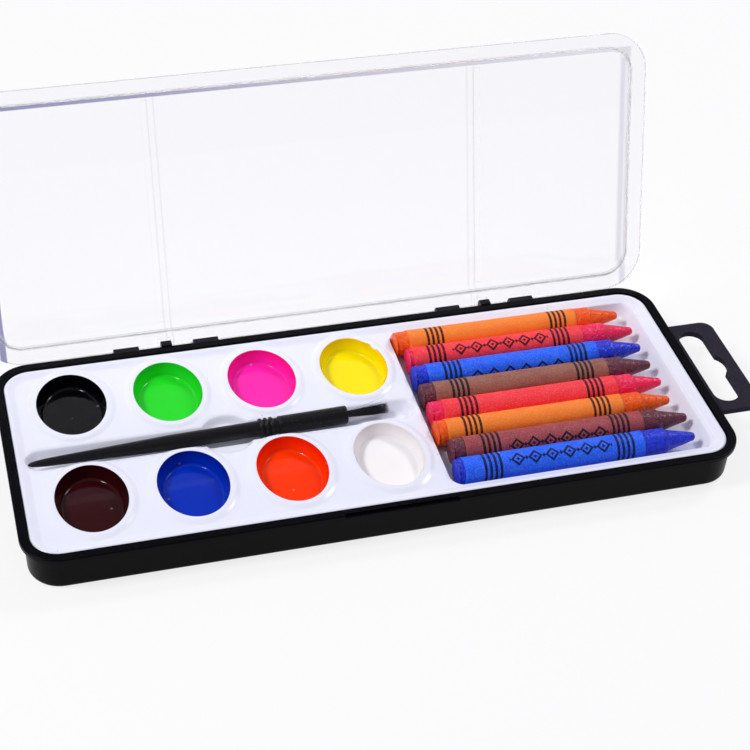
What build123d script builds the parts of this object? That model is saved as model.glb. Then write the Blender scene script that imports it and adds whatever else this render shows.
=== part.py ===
# Watercolour paint set: a flat black case with a hanging tab, a clear hinged lid, a white tray
# with eight oval wells of paint, a brush in a trough and eight wrapped crayons.
# Millimetres, +Z up. The origin is the middle of the case's bottom face, X runs along the case,
# and the lid is hinged at the back, towards +Y. The lid is drawn open.

from build123d import *
from math import cos, pi, radians, sin, sqrt, tan
import os

# Case
case_height = 11.0
case_corner = 9.8
case_wall = 1.1
case_floor = 1.3
case_draft = 1.5
rim_width = 2.5
rim_thickness = 1.3
foot_fillet = 1.4
rim_fillet = 0.35
thumb_length = 29.6
thumb_depth = 0.9
thumb_height = 0.7
thumb_flat = 0.1

# Ribs that carry the tray
rib_thickness = 1.2
rib_reach = 1.6
rib_columns = 6
rib_margin = 15.95
end_rib_margin = 17.15

# Hanging tab
tab_edge = 2.8
tab_side = 3.4
tab_thickness = 1.6
tab_drop = 1.5
tab_corner = 3.4
slot_length = 30.4
slot_width = 7.2
slot_inset = 1.5
slot_bump_radius = 5.2
slot_bump_rise = 1.7

# Hinge
hinge_behind = 0.6
hinge_drop = 3.0
hinge_margin = 47.6
pin_radius = 0.8
pin_clearance = 0.05
post_width = 2.9
ear_width = 6.9
ear_gap = 15.0
ear_round = 1.9
ear_top = 2.6
post_top = 3.3
lug_clearance = 0.3
lug_radius = 1.35
lug_back = 1.2
pin_bite = 3.0
open_angle = 106.1
stop_clearance = 0.08
stop_height = 1.1

# Lid
lid_end_overhang = 1.3
lid_front_overhang = 0.1
lid_flange = 4.8
lid_height = 4.0
lid_wall = 1.2
lid_gap = 0.2
lid_draft = 9.0
lid_fillet = 1.6
lid_edge_fillet = 0.3
lid_rib_width = 1.8
lid_rib_height = 0.25
notch_clearance = 0.4
notch_height = 0.65

# Tray
tray_fit = 0.15
tray_wall = 0.9
tray_lip = 0.2
border_width = 1.7
border_height = 0.95
border_fillet = 0.6
border_slope = 20.0
tray_skirt = 2.5

# Wells and paint
well_columns = 4
well_half_x = 8.9
well_gap = 7.6
well_left_margin = 7.8
well_front_margin = 6.0
well_back_margin = 3.7
well_front_land = 1.5
well_back_land = 3.8
well_depth = 4.8
well_draft = 9.0
halo_width = 2.1
halo_height = 0.35
paint_wall = 0.6
paint_floor = 1.2
paint_below = 0.1
paint_draft = 14.0
paint_fillet = 1.0
paint_fit = 0.02
paint_names = ["brown", "blue", "orange", "white", "black", "green", "pink", "yellow"]

# Brush trough
trough_margin = 2.6
trough_land = 1.0
trough_side_gap = 1.1
trough_slope = 1.2
grip_shift = -0.6
grip_radius = 7.1
grip_depth = 1.9
grip_draft = 30.0

# Crayon compartment
box_land = 3.95
box_right_margin = 4.1
box_border = 3.3
box_side_gap = 1.415
box_corner = 4.0
box_slope = 0.8
box_left_slope = 0.25
box_end_slope = 2.2

# Crayons
crayon_length = 65.9
crayon_radius = 3.65
crayon_gap = 0.31
crayon_left_gap = 2.15
crayon_tip_gap = 3.7
crayon_shifts = [-1.5, 0.1, -0.4, -0.5, -0.4, -1.1, 0.7, -0.2]
wrapper_shifts = [0.2, -2.1, 0.0, 0.0, -0.1, -0.7, 0.1, -1.7]
crayon_names = ["orange_rear", "red_rear", "blue_rear", "brown_rear"]
crayon_names += ["red_front", "orange_front", "brown_front", "blue_front"]
crayon_seat = 0.3
crayon_proud = 2.2
wax_inset = 0.2
wax_bare_end = 3.4
wax_bare_nose = 4.9
nose_length = 8.6
nose_step = 0.5
nose_tip_radius = 1.2
nose_round = 0.9
end_chamfer = 0.5
wrapper_gap = 0.03

# Brush
brush_left_gap = 0.3
brush_tip_gap = 7.1
brush_pivot = 47.9
brush_angle = 1.4
brush_seat = 0.3
brush_sunk = 0.1
handle_radius = 2.05
handle_tip_radius = 0.3
handle_mid_radius = 1.45
handle_swell = 36.0
ring_radius = 2.35
ring_width = 0.9
ring_pitch = 1.8
ring_count = 3
ring_margin = 1.0
ferrule_radius = 2.4
ferrule_length = 18.6
ferrule_mouth_radius = 1.15
ferrule_gap = 0.03
ferrule_fillet = 0.4
tenon_radius = 1.5
tenon_length = 6.0
bristle_length = 11.4
bristle_count = 320
bristle_width = 0.075
bristle_root_radius = 0.98
bristle_tip_radius = 1.65
bristle_plug = 3.0
bristle_sink = 0.4
bristle_ragged = 0.9

os.makedirs("parts", exist_ok=True)


def save(node, label):
    node.part.label = label
    export_step(node.part, "parts/" + label + ".step")


def slope_reach(height, angle):
    return height * tan(radians(angle))


# The tray is as long as the wells and the crayons need in a row, and as deep as the crayons need
# side by side. The two rows of wells share what the brush trough leaves of that depth.
crayon_pitch = 2 * crayon_radius + crayon_gap
box_length = crayon_left_gap + crayon_length + crayon_tip_gap
box_depth = (len(crayon_names) - 1) * crayon_pitch + 2 * crayon_radius + 2 * box_side_gap
well_pitch_x = 2 * well_half_x + well_gap
wells_length = 2 * well_half_x + (well_columns - 1) * well_pitch_x
tray_length = well_left_margin + wells_length + box_land + box_length + box_right_margin
tray_depth = box_depth + 2 * box_border
tray_left = -tray_length / 2
tray_front = -tray_depth / 2
trough_half_width = ferrule_radius + trough_side_gap
row_depth = tray_depth - well_front_margin - well_front_land - well_back_land - well_back_margin
well_half_y = (row_depth - 2 * trough_half_width) / 4
well_first_x = tray_left + well_left_margin + well_half_x
well_front_y = tray_front + well_front_margin + well_half_y
well_back_y = -tray_front - well_back_margin - well_half_y
trough_y = well_front_y + well_half_y + well_front_land + trough_half_width
box_left = tray_left + well_left_margin + wells_length + box_land
box_right = box_left + box_length
trough_left = tray_left + trough_margin
trough_right = box_left - trough_land
grip_x = well_first_x + (well_columns - 1) * well_pitch_x / 2 + grip_shift

# The case round the tray
case_length = tray_length + 2 * rim_width
case_depth = tray_depth + 2 * rim_width
tray_corner = case_corner - rim_width
hollow_length = tray_length + 2 * tray_fit
hollow_depth = tray_depth + 2 * tray_fit
hollow_corner = tray_corner + tray_fit
rim_under = case_height - rim_thickness
body_draft = slope_reach(rim_under, case_draft)
foot_length = hollow_length + 2 * case_wall - 2 * body_draft
foot_depth = hollow_depth + 2 * case_wall - 2 * body_draft
foot_corner = hollow_corner + case_wall - body_draft
border_top = case_height - tray_lip
deck_top = border_top - border_height
deck_under = deck_top - tray_wall
skirt_bottom = border_top - tray_skirt
hinge_y = case_depth / 2 + hinge_behind
hinge_z = case_height - hinge_drop
hinge_spacing = case_length - 2 * hinge_margin
hinge_centres = [-hinge_spacing / 2, hinge_spacing / 2]
tab_width = slot_length + 2 * tab_side
tab_reach = slot_inset + slot_width + slot_bump_rise + tab_edge

# The case, with its tab and hinge ears

with BuildPart() as case:
    with BuildSketch(Plane.XY):
        RectangleRounded(foot_length, foot_depth, foot_corner)
    extrude(amount=rim_under, taper=-case_draft)
    with BuildSketch(Plane.XY.offset(rim_under)):
        RectangleRounded(case_length, case_depth, case_corner)
    extrude(amount=rim_thickness)
    fillet(case.edges().group_by(Axis.Z)[0], radius=foot_fillet)
    fillet(case.edges().group_by(Axis.Z)[-1], radius=rim_fillet)

    # The hollow that takes the tray
    with BuildSketch(Plane.XY.offset(case_floor)):
        RectangleRounded(hollow_length - 2 * body_draft, hollow_depth - 2 * body_draft,
                         hollow_corner - body_draft)
    extrude(amount=rim_under - case_floor, taper=-case_draft, mode=Mode.SUBTRACT)
    with BuildSketch(Plane.XY.offset(rim_under - rim_thickness)):
        RectangleRounded(hollow_length, hollow_depth, hollow_corner)
    extrude(amount=2 * rim_thickness + rim_fillet, mode=Mode.SUBTRACT)

    # Ribs under the tray's skirt, on all four walls
    rib_span = hollow_length - 2 * rib_margin
    end_rib_span = hollow_depth - 2 * end_rib_margin
    with BuildSketch(Plane.XY.offset(case_floor)):
        for side in (-1, 1):
            with Locations((0, side * (hollow_depth - rib_reach) / 2)):
                with GridLocations(rib_span / (rib_columns - 1), 1, rib_columns, 1):
                    Rectangle(rib_thickness, rib_reach)
            with Locations((side * (hollow_length - rib_reach) / 2, 0)):
                with GridLocations(1, end_rib_span, 1, 2):
                    Rectangle(rib_reach, rib_thickness)
    extrude(amount=skirt_bottom - case_floor)

    # Thumb notch in the middle of the front rim
    with BuildSketch(Plane.XY.offset(case_height - thumb_height)):
        with Locations((0, -case_depth / 2)):
            RectangleRounded(thumb_length, 2 * thumb_depth, thumb_depth - thumb_flat)
    extrude(amount=2 * thumb_height, mode=Mode.SUBTRACT)

    # Hanging tab at the right end
    tab_top = case_height - tab_drop
    tab_start = hollow_length / 2 + case_wall / 2
    tab_end = case_length / 2 + tab_reach
    with BuildSketch(Plane.XY.offset(tab_top - tab_thickness)):
        with BuildLine():
            Polyline((tab_start, -tab_width / 2), (tab_end, -tab_width / 2), (tab_end, tab_width / 2),
                     (tab_start, tab_width / 2), close=True)
        make_face()
        fillet(vertices().group_by(Axis.X)[-1], radius=tab_corner)
    extrude(amount=tab_thickness)

    # Hanging slot with its round bump away from the case
    slot_middle = case_length / 2 + slot_inset + slot_width / 2
    with BuildSketch(Plane.XY.offset(tab_top - 2 * tab_thickness)):
        with Locations((slot_middle, 0)):
            SlotOverall(slot_length, slot_width, rotation=90)
        with Locations((slot_middle + slot_width / 2 + slot_bump_rise - slot_bump_radius, 0)):
            Circle(slot_bump_radius)
        with Locations((slot_middle - slot_width, 0)):
            Rectangle(slot_width, slot_length, mode=Mode.SUBTRACT)
    extrude(amount=4 * tab_thickness, mode=Mode.SUBTRACT)

    # Two ears and a post at each hinge, on the back of the wall
    ear_back = hinge_y + ear_round
    ear_low = hinge_z - ear_round
    ear_front = case_depth / 2 - rim_fillet
    wall_inside = hollow_depth / 2 + case_wall / 2
    for middle in hinge_centres:
        for start, width, top in (
            (middle - ear_gap / 2 - ear_width, ear_width, ear_top),
            (middle + ear_gap / 2, ear_width, ear_top),
            (middle - post_width / 2, post_width, post_top),
        ):
            with BuildSketch(Plane.YZ.offset(start)):
                with BuildLine():
                    Polyline((wall_inside, ear_low - ear_round / 2), (hinge_y - ear_round / 2, ear_low),
                             (hinge_y, ear_low))
                    RadiusArc((hinge_y, ear_low), (ear_back, hinge_z), -ear_round)
                    Polyline((ear_back, hinge_z), (ear_back, hinge_z + top - lug_back),
                             (hinge_y + lug_back, hinge_z + top), (ear_front, hinge_z + top),
                             (ear_front, rim_under), (wall_inside, rim_under),
                             (wall_inside, ear_low - ear_round / 2))
                make_face()
            extrude(amount=width)
        with BuildSketch(Plane.YZ.offset(middle - ear_gap / 2 - pin_bite - lug_clearance)):
            with Locations((hinge_y, hinge_z)):
                Circle(pin_radius + pin_clearance)
        extrude(amount=ear_gap + 2 * (pin_bite + lug_clearance), mode=Mode.SUBTRACT)

save(case, "case_base")

# The lid, drawn in its closed shape on planes that are turned open about the hinge

turn = radians(open_angle)
lid_plane = Plane(origin=(0, hinge_y, hinge_z), x_dir=(1, 0, 0), z_dir=(0, sin(turn), cos(turn)))
lid_side = Plane(origin=(0, hinge_y, hinge_z), x_dir=(0, cos(turn), -sin(turn)), z_dir=(1, 0, 0))
lid_length = case_length + 2 * lid_end_overhang
lid_depth = case_depth + 2 * lid_front_overhang
lid_corner = case_corner + lid_end_overhang
panel_length = lid_length - 2 * lid_flange
panel_depth = lid_depth - 2 * lid_flange
panel_corner = lid_corner - lid_flange
lid_axis = Axis((0, hinge_y, hinge_z), (0, sin(turn), cos(turn)))
lid_low = hinge_drop + lid_gap
lid_back = lid_depth / 2 - hinge_y

with BuildPart() as lid_hollow:
    with BuildSketch(lid_plane.offset(lid_low)):
        with Locations((0, -hinge_y)):
            RectangleRounded(panel_length, panel_depth, panel_corner)
    extrude(amount=lid_height - lid_wall, taper=lid_draft)
    fillet(lid_hollow.edges().group_by(lid_axis)[-1], radius=lid_fillet - lid_wall / 2)

with BuildPart() as lid:
    with BuildSketch(lid_plane.offset(lid_low)):
        with Locations((0, -hinge_y)):
            RectangleRounded(lid_length, lid_depth, lid_corner)
    extrude(amount=lid_wall)
    fillet(lid.edges().group_by(lid_axis)[-1], radius=lid_edge_fillet)
    with BuildSketch(lid_plane.offset(lid_low)):
        with Locations((0, -hinge_y)):
            RectangleRounded(panel_length + 2 * lid_wall, panel_depth + 2 * lid_wall,
                             panel_corner + lid_wall)
    extrude(amount=lid_height, taper=lid_draft)
    fillet(lid.edges().group_by(lid_axis)[-1], radius=lid_fillet)
    add(lid_hollow.part, mode=Mode.SUBTRACT)

    # Two faint ribs across the inside of the panel, in line with the hinges
    with BuildSketch(lid_plane.offset(lid_low + lid_height - lid_wall - lid_rib_height)):
        with Locations((0, -hinge_y)):
            with GridLocations(hinge_spacing, 1, 2, 1):
                Rectangle(lid_rib_width, panel_depth - 2 * lid_fillet)
    extrude(amount=lid_rib_height + lid_wall / 2)

    # Notches that let the back wall swing over the posts
    for middle in hinge_centres:
        with BuildSketch(lid_plane.offset(lid_low)):
            with Locations((middle, lid_back - lid_wall / 2)):
                Rectangle(post_width + 2 * notch_clearance, 3 * lid_wall)
        extrude(amount=notch_height, mode=Mode.SUBTRACT)

    # Lugs between the post and the ears, each with a heel that meets the case's wall when open
    lug_width = (ear_gap - post_width) / 2 - 2 * lug_clearance
    lug_in = lid_back
    lug_top = lid_low + lid_wall - lid_edge_fillet
    heel_reach = hinge_y - hollow_depth / 2 - case_wall - stop_clearance
    heel = [(heel_reach * sin(turn - pi / 2), -heel_reach * cos(turn - pi / 2))]
    heel += [(heel[0][0] + stop_height * cos(turn - pi / 2), heel[0][1] + stop_height * sin(turn - pi / 2))]
    for middle in hinge_centres:
        for start in (middle - ear_gap / 2 + lug_clearance, middle + post_width / 2 + lug_clearance):
            with BuildSketch(lid_side.offset(start)):
                Circle(lug_radius)
                with BuildLine():
                    Polyline((lug_in, 0), (lug_back, 0), (lug_back, lid_low), (lug_in, lug_top),
                             (lug_in - lid_wall, lug_top), (lug_in - lid_wall, lid_low),
                             (lug_in, lid_low), close=True)
                make_face()
                with BuildLine():
                    Polyline((0, 0), heel[0], heel[1], (lug_back, 0), close=True)
                make_face()
            extrude(amount=lug_width)
        with BuildSketch(lid_side.offset(middle - ear_gap / 2 - pin_bite)):
            Circle(pin_radius)
        extrude(amount=ear_gap + 2 * pin_bite)

save(lid, "clear_lid")

# The white tray


def oval_loft(x, y, low, low_grow, high, high_grow, mode):
    """Loft between two ovals that are the well's rim grown by the given amounts."""
    with BuildSketch(Plane.XY.offset(low)) as low_oval:
        with Locations((x, y)):
            Ellipse(well_half_x + low_grow, well_half_y + low_grow)
    with BuildSketch(Plane.XY.offset(high)) as high_oval:
        with Locations((x, y)):
            Ellipse(well_half_x + high_grow, well_half_y + high_grow)
    loft(sections=[low_oval.sketch.face(), high_oval.sketch.face()], mode=mode)


def trough_loft(low, low_grow, high, high_grow, mode):
    """Loft between two rounded slots along the brush trough."""
    middle = (trough_left + trough_right) / 2
    with BuildSketch(Plane.XY.offset(low)) as low_slot:
        with Locations((middle, trough_y)):
            SlotOverall(trough_right - trough_left + 2 * low_grow, 2 * (trough_half_width + low_grow))
    with BuildSketch(Plane.XY.offset(high)) as high_slot:
        with Locations((middle, trough_y)):
            SlotOverall(trough_right - trough_left + 2 * high_grow, 2 * (trough_half_width + high_grow))
    loft(sections=[low_slot.sketch.face(), high_slot.sketch.face()], mode=mode)


def box_loft(low, high, grow, mode):
    """Loft between the crayon compartment's floor and its top outline, grown by a wall."""
    with BuildSketch(Plane.XY.offset(low)) as floor_outline:
        with Locations(((box_left + box_left_slope + box_right - box_end_slope) / 2, 0)):
            RectangleRounded(box_right - box_left - box_left_slope - box_end_slope + 2 * grow,
                             box_depth - 2 * box_slope + 2 * grow, box_corner)
    with BuildSketch(Plane.XY.offset(high)) as top_outline:
        with Locations(((box_left + box_right) / 2, 0)):
            RectangleRounded(box_right - box_left + 2 * grow, box_depth + 2 * grow, box_corner)
    loft(sections=[floor_outline.sketch.face(), top_outline.sketch.face()], mode=mode)


well_places = [
    (well_first_x + column * well_pitch_x, row_y)
    for row_y in (well_front_y, well_back_y)
    for column in range(well_columns)
]
halo_top = deck_top + halo_height
well_floor = halo_top - well_depth
well_reach = slope_reach(well_depth, well_draft)
trough_floor = deck_top - brush_sunk - ferrule_radius - brush_seat
box_floor = case_height + crayon_proud - 2 * crayon_radius - crayon_seat
cut_over = 0.5

with BuildPart() as tray:
    with BuildSketch(Plane.XY.offset(skirt_bottom)):
        RectangleRounded(tray_length, tray_depth, tray_corner)
    extrude(amount=tray_skirt)
    fillet(tray.edges().group_by(Axis.Z)[-1], radius=border_fillet)
    with BuildSketch(Plane.XY.offset(skirt_bottom)):
        RectangleRounded(tray_length - 2 * tray_wall, tray_depth - 2 * tray_wall, tray_corner - tray_wall)
    extrude(amount=deck_under - skirt_bottom, mode=Mode.SUBTRACT)
    with BuildSketch(Plane.XY.offset(deck_top)):
        RectangleRounded(tray_length - 2 * border_width, tray_depth - 2 * border_width,
                         tray_corner - border_width)
    extrude(amount=2 * border_height, taper=-border_slope, mode=Mode.SUBTRACT)

    # Halos and cups of the wells
    for x, y in well_places:
        oval_loft(x, y, deck_under, halo_width, halo_top, halo_width - halo_height, Mode.ADD)
        oval_loft(x, y, well_floor - tray_wall, tray_wall - well_reach,
                  halo_top - tray_wall, tray_wall, Mode.ADD)

    # Undersides of the trough, its finger grips and the crayon compartment
    trough_loft(trough_floor - tray_wall, tray_wall - trough_slope, deck_top, tray_wall, Mode.ADD)
    with BuildSketch(Plane.XY.offset(deck_top - grip_depth - tray_wall)):
        with Locations((grip_x, trough_y)):
            Circle(grip_radius - slope_reach(grip_depth, grip_draft) + tray_wall)
    extrude(amount=grip_depth + tray_wall, taper=-grip_draft)
    box_loft(box_floor - tray_wall, deck_top, tray_wall, Mode.ADD)

    # The hollows themselves
    over = slope_reach(cut_over, well_draft)
    for x, y in well_places:
        oval_loft(x, y, well_floor, -well_reach, halo_top + cut_over, over, Mode.SUBTRACT)
    trough_loft(trough_floor, -trough_slope, deck_top, 0, Mode.SUBTRACT)
    with BuildSketch(Plane.XY.offset(deck_top)):
        with Locations(((trough_left + trough_right) / 2, trough_y)):
            SlotOverall(trough_right - trough_left, 2 * trough_half_width)
    extrude(amount=border_height / 2, mode=Mode.SUBTRACT)
    with BuildSketch(Plane.XY.offset(deck_top - grip_depth)):
        with Locations((grip_x, trough_y)):
            Circle(grip_radius - slope_reach(grip_depth, grip_draft))
    extrude(amount=grip_depth + border_height / 2, taper=-grip_draft, mode=Mode.SUBTRACT)
    box_loft(box_floor, deck_top, 0, Mode.SUBTRACT)

save(tray, "insert_tray")

# Paint, a dished cake in each well

for (x, y), colour in zip(well_places, paint_names):
    paint_top = halo_top - paint_below
    paint_low = well_floor + paint_fit
    top_grow = -paint_fit - slope_reach(paint_below, well_draft)
    low_grow = -paint_fit - well_reach
    dish_low = well_floor + paint_floor
    dish_grow = top_grow - paint_wall - slope_reach(paint_top - dish_low, paint_draft)
    over = slope_reach(cut_over, paint_draft)
    with BuildPart() as paint:
        oval_loft(x, y, paint_low, low_grow, paint_top, top_grow, Mode.ADD)
        oval_loft(x, y, dish_low, dish_grow, paint_top + cut_over, top_grow - paint_wall + over,
                  Mode.SUBTRACT)
        fillet(paint.edges().filter_by_position(Axis.Z, dish_low, dish_low), radius=paint_fillet)
    save(paint, "paint_" + colour)

# Crayons, each a wax stick in a paper wrapper, side by side in the compartment

crayon_z = box_floor + crayon_seat + crayon_radius
wax_radius = crayon_radius - wax_inset
nose_root_radius = wax_radius - nose_step
wrapper_length = crayon_length - nose_length - wax_bare_nose - wax_bare_end

for place, colour in enumerate(crayon_names):
    y = ((len(crayon_names) - 1) / 2 - place) * crayon_pitch
    start = box_left + crayon_left_gap + crayon_shifts[place]
    nose_start = crayon_length - nose_length
    side = Plane(origin=(start, y, crayon_z), x_dir=(1, 0, 0), z_dir=(0, -1, 0))
    cross = Plane(origin=(start, y, crayon_z), x_dir=(0, 1, 0), z_dir=(1, 0, 0))
    middle_line = Axis((start, y, crayon_z), (1, 0, 0))
    with BuildPart() as wax:
        with BuildSketch(side):
            with BuildLine():
                Polyline((0, 0), (0, wax_radius - end_chamfer), (end_chamfer, wax_radius),
                         (nose_start - end_chamfer, wax_radius), (nose_start, nose_root_radius),
                         (crayon_length - nose_round, nose_tip_radius),
                         (crayon_length, nose_tip_radius - nose_round), (crayon_length, 0), close=True)
            make_face()
        revolve(axis=middle_line)
    save(wax, "crayon_wax_" + colour)
    with BuildPart() as wrapper:
        with BuildSketch(cross.offset(wax_bare_end + wrapper_shifts[place])):
            Circle(crayon_radius)
            Circle(wax_radius + wrapper_gap, mode=Mode.SUBTRACT)
        extrude(amount=wrapper_length)
    save(wrapper, "crayon_wrapper_" + colour)

# The brush, lying a little askew in its trough

slant = radians(brush_angle)
brush_z = trough_floor + brush_seat + ferrule_radius
brush_room = trough_right - trough_left - brush_left_gap - brush_tip_gap
handle_end = brush_room - ferrule_length - bristle_length
brush_start = Vector(trough_left + brush_left_gap, trough_y - brush_pivot * tan(slant), brush_z)
along = (cos(slant), sin(slant), 0)
brush_line = Axis(brush_start, along)
brush_side = Plane(origin=brush_start, x_dir=along, z_dir=(sin(slant), -cos(slant), 0))
brush_end = Plane(origin=brush_start, x_dir=(-sin(slant), cos(slant), 0), z_dir=along)
ferrule_start = handle_end
ferrule_end = ferrule_start + ferrule_length

with BuildPart() as handle:
    with BuildSketch(brush_side):
        with BuildLine():
            Polyline((0, 0), (0, handle_tip_radius))
            Spline((0, handle_tip_radius), (handle_swell / 2, handle_mid_radius),
                   (handle_swell, handle_radius), tangents=[(1, 0.2), (1, 0)])
            Polyline((handle_swell, handle_radius), (handle_end, handle_radius), (handle_end, tenon_radius),
                     (handle_end + tenon_length, tenon_radius), (handle_end + tenon_length, 0), (0, 0))
        make_face()
    revolve(axis=brush_line)
    for ring in range(ring_count):
        with BuildSketch(brush_end.offset(handle_end - ring_margin - ring * ring_pitch - ring_width)):
            Circle(ring_radius)
        extrude(amount=ring_width)

save(handle, "brush_handle")

with BuildPart() as ferrule:
    with BuildSketch(brush_end.offset(ferrule_start)):
        Circle(ferrule_radius)
    extrude(amount=ferrule_length)
    fillet(ferrule.edges(), radius=ferrule_fillet)
    with BuildSketch(brush_end.offset(ferrule_start)):
        Circle(tenon_radius + ferrule_gap)
    extrude(amount=tenon_length + ferrule_gap, mode=Mode.SUBTRACT)
    with BuildSketch(brush_end.offset(ferrule_end - bristle_plug - ferrule_gap)):
        Circle(ferrule_mouth_radius)
    extrude(amount=bristle_plug + 2 * ferrule_gap, mode=Mode.SUBTRACT)

save(ferrule, "brush_ferrule")

# Bristles: straight strands that fan out evenly from a short plug, so that none cross

plug_radius = ferrule_mouth_radius - ferrule_gap
golden_turn = pi * (3 - sqrt(5))
strand_root = ferrule_end - bristle_sink
strands = []
for strand in range(bristle_count):
    share = sqrt((strand + 0.5) / bristle_count)
    heading = strand * golden_turn
    uneven = bristle_ragged * (0.5 + 0.5 * sin(strand * 2.4 + 1))
    reach = bristle_length + bristle_sink - uneven
    fan = (bristle_tip_radius - bristle_root_radius) * share
    root = brush_end.offset(strand_root)
    corners = [
        root.from_local_coords(
            Vector(
                bristle_root_radius * share * cos(heading) + bristle_width / 2 * cos(heading + turn_part),
                bristle_root_radius * share * sin(heading) + bristle_width / 2 * sin(heading + turn_part),
                0,
            )
        )
        for turn_part in (0, 2 * pi / 3, 4 * pi / 3)
    ]
    lean = root.from_local_coords(Vector(fan * cos(heading), fan * sin(heading), reach)) - root.origin
    strands.append(Solid.extrude(Face(Wire.make_polygon(corners, close=True)), lean))

with BuildPart() as bristles:
    with BuildSketch(brush_end.offset(ferrule_end - bristle_plug)):
        Circle(plug_radius)
    extrude(amount=bristle_plug)
    add(strands)

save(bristles, "brush_bristles")
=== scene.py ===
"""Looks of a watercolour paint set: a black case with a hanging tab, a clear lid, a white tray
with eight wells of glossy paint, a brush with black hair and eight wax crayons in paper wrappers.

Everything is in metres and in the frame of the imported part: +Z is up, X runs along the case, and
the lid is hinged at the back, towards +Y. Sizes written in millimetres are turned by MM.
"""

import logging
import math
from dataclasses import dataclass, field
from enum import Enum

import bpy
import numpy as np
from mathutils import Matrix, Vector
from mathutils.geometry import delaunay_2d_cdt


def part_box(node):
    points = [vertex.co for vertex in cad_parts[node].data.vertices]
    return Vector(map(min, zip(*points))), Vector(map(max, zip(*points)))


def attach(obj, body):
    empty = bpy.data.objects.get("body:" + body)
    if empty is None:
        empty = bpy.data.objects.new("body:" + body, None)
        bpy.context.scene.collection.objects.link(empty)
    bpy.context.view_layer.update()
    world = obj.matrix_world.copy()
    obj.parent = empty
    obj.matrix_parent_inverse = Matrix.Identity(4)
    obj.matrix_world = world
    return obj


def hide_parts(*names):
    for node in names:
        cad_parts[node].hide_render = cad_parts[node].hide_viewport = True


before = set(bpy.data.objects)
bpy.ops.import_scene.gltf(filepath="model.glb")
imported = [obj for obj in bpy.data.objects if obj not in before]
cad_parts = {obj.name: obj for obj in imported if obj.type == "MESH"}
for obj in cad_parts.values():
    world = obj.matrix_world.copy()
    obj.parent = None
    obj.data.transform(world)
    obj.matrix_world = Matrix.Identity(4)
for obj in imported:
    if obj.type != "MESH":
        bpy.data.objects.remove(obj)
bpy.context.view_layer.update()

MM = 0.001
TURN = 2 * math.pi
LOG = logging.getLogger("paint_set")


# Meshes


def node_box(node: str) -> tuple[np.ndarray, np.ndarray]:
    """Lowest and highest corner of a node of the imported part, in millimetres.

    Args:
        node: name of the node.

    Returns:
        The two corners as arrays of three.
    """
    low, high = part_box(node)
    return np.array(low) / MM, np.array(high) / MM


def make_mesh(
    name: str, points: np.ndarray, faces: np.ndarray | list, uv: np.ndarray | None = None
) -> bpy.types.Object:
    """Puts points and faces into a smooth mesh object at the origin.

    Args:
        name: name of the object.
        points: one row of x, y, z in millimetres for each vertex.
        faces: the numbers of each face's vertices, three or more.
        uv: one row of u, v for each corner of each face, if the piece has a map.

    Returns:
        The object.
    """
    rows = faces.tolist() if isinstance(faces, np.ndarray) else faces
    mesh = bpy.data.meshes.new(name)
    mesh.from_pydata((np.asarray(points) * MM).tolist(), [], rows)
    mesh.polygons.foreach_set("use_smooth", np.ones(len(mesh.polygons), bool))
    if uv is not None:
        layer = mesh.uv_layers.new(name="UVMap")
        layer.data.foreach_set("uv", np.asarray(uv, float).ravel())
    mesh.validate()
    mesh.update()
    piece = bpy.data.objects.new(name, mesh)
    bpy.context.scene.collection.objects.link(piece)
    return piece


def tube_faces(rings: int, around: int, first: int = 0) -> np.ndarray:
    """Quads between neighbouring rings of a closed band, numbered ring by ring.

    Args:
        rings: how many rings there are.
        around: how many points each ring has.
        first: number of the first ring's first point.

    Returns:
        One row of four vertex numbers for each face.
    """
    ring, step = np.meshgrid(np.arange(rings - 1), np.arange(around), indexing="ij")
    here = first + ring * around + step
    beside = first + ring * around + (step + 1) % around
    return np.stack([here, beside, beside + around, here + around], -1).reshape(-1, 4)


def fan_faces(first: int, around: int, centre: int, flip: bool = False) -> list[list[int]]:
    """Triangles between a ring's neighbouring points and the point at its middle.

    Args:
        first: number of the ring's first point.
        around: how many points the ring has.
        centre: number of the point at its middle.
        flip: whether the triangles run the other way round.

    Returns:
        The numbers of each triangle's vertices.
    """
    here = np.arange(around)
    beside = (here + 1) % around
    start, end = (beside, here) if flip else (here, beside)
    return np.stack([start + first, end + first, np.full(around, centre)], 1).tolist()


def wave(angle: np.ndarray, seed: int, terms: int = 5) -> np.ndarray:
    """A smooth closed wave of about one unit: a sum of sines of whole numbers of turns.

    Args:
        angle: where it is read, in radians.
        seed: which wave.
        terms: how many sines it sums.

    Returns:
        The wave's height at each angle.
    """
    draw = np.random.default_rng(seed)
    size = draw.normal(size=terms) / np.arange(1, terms + 1)
    phase = draw.uniform(0, TURN, terms)
    return sum(size[k] * np.sin((k + 1) * angle + phase[k]) for k in range(terms))


# Shader sums


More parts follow.
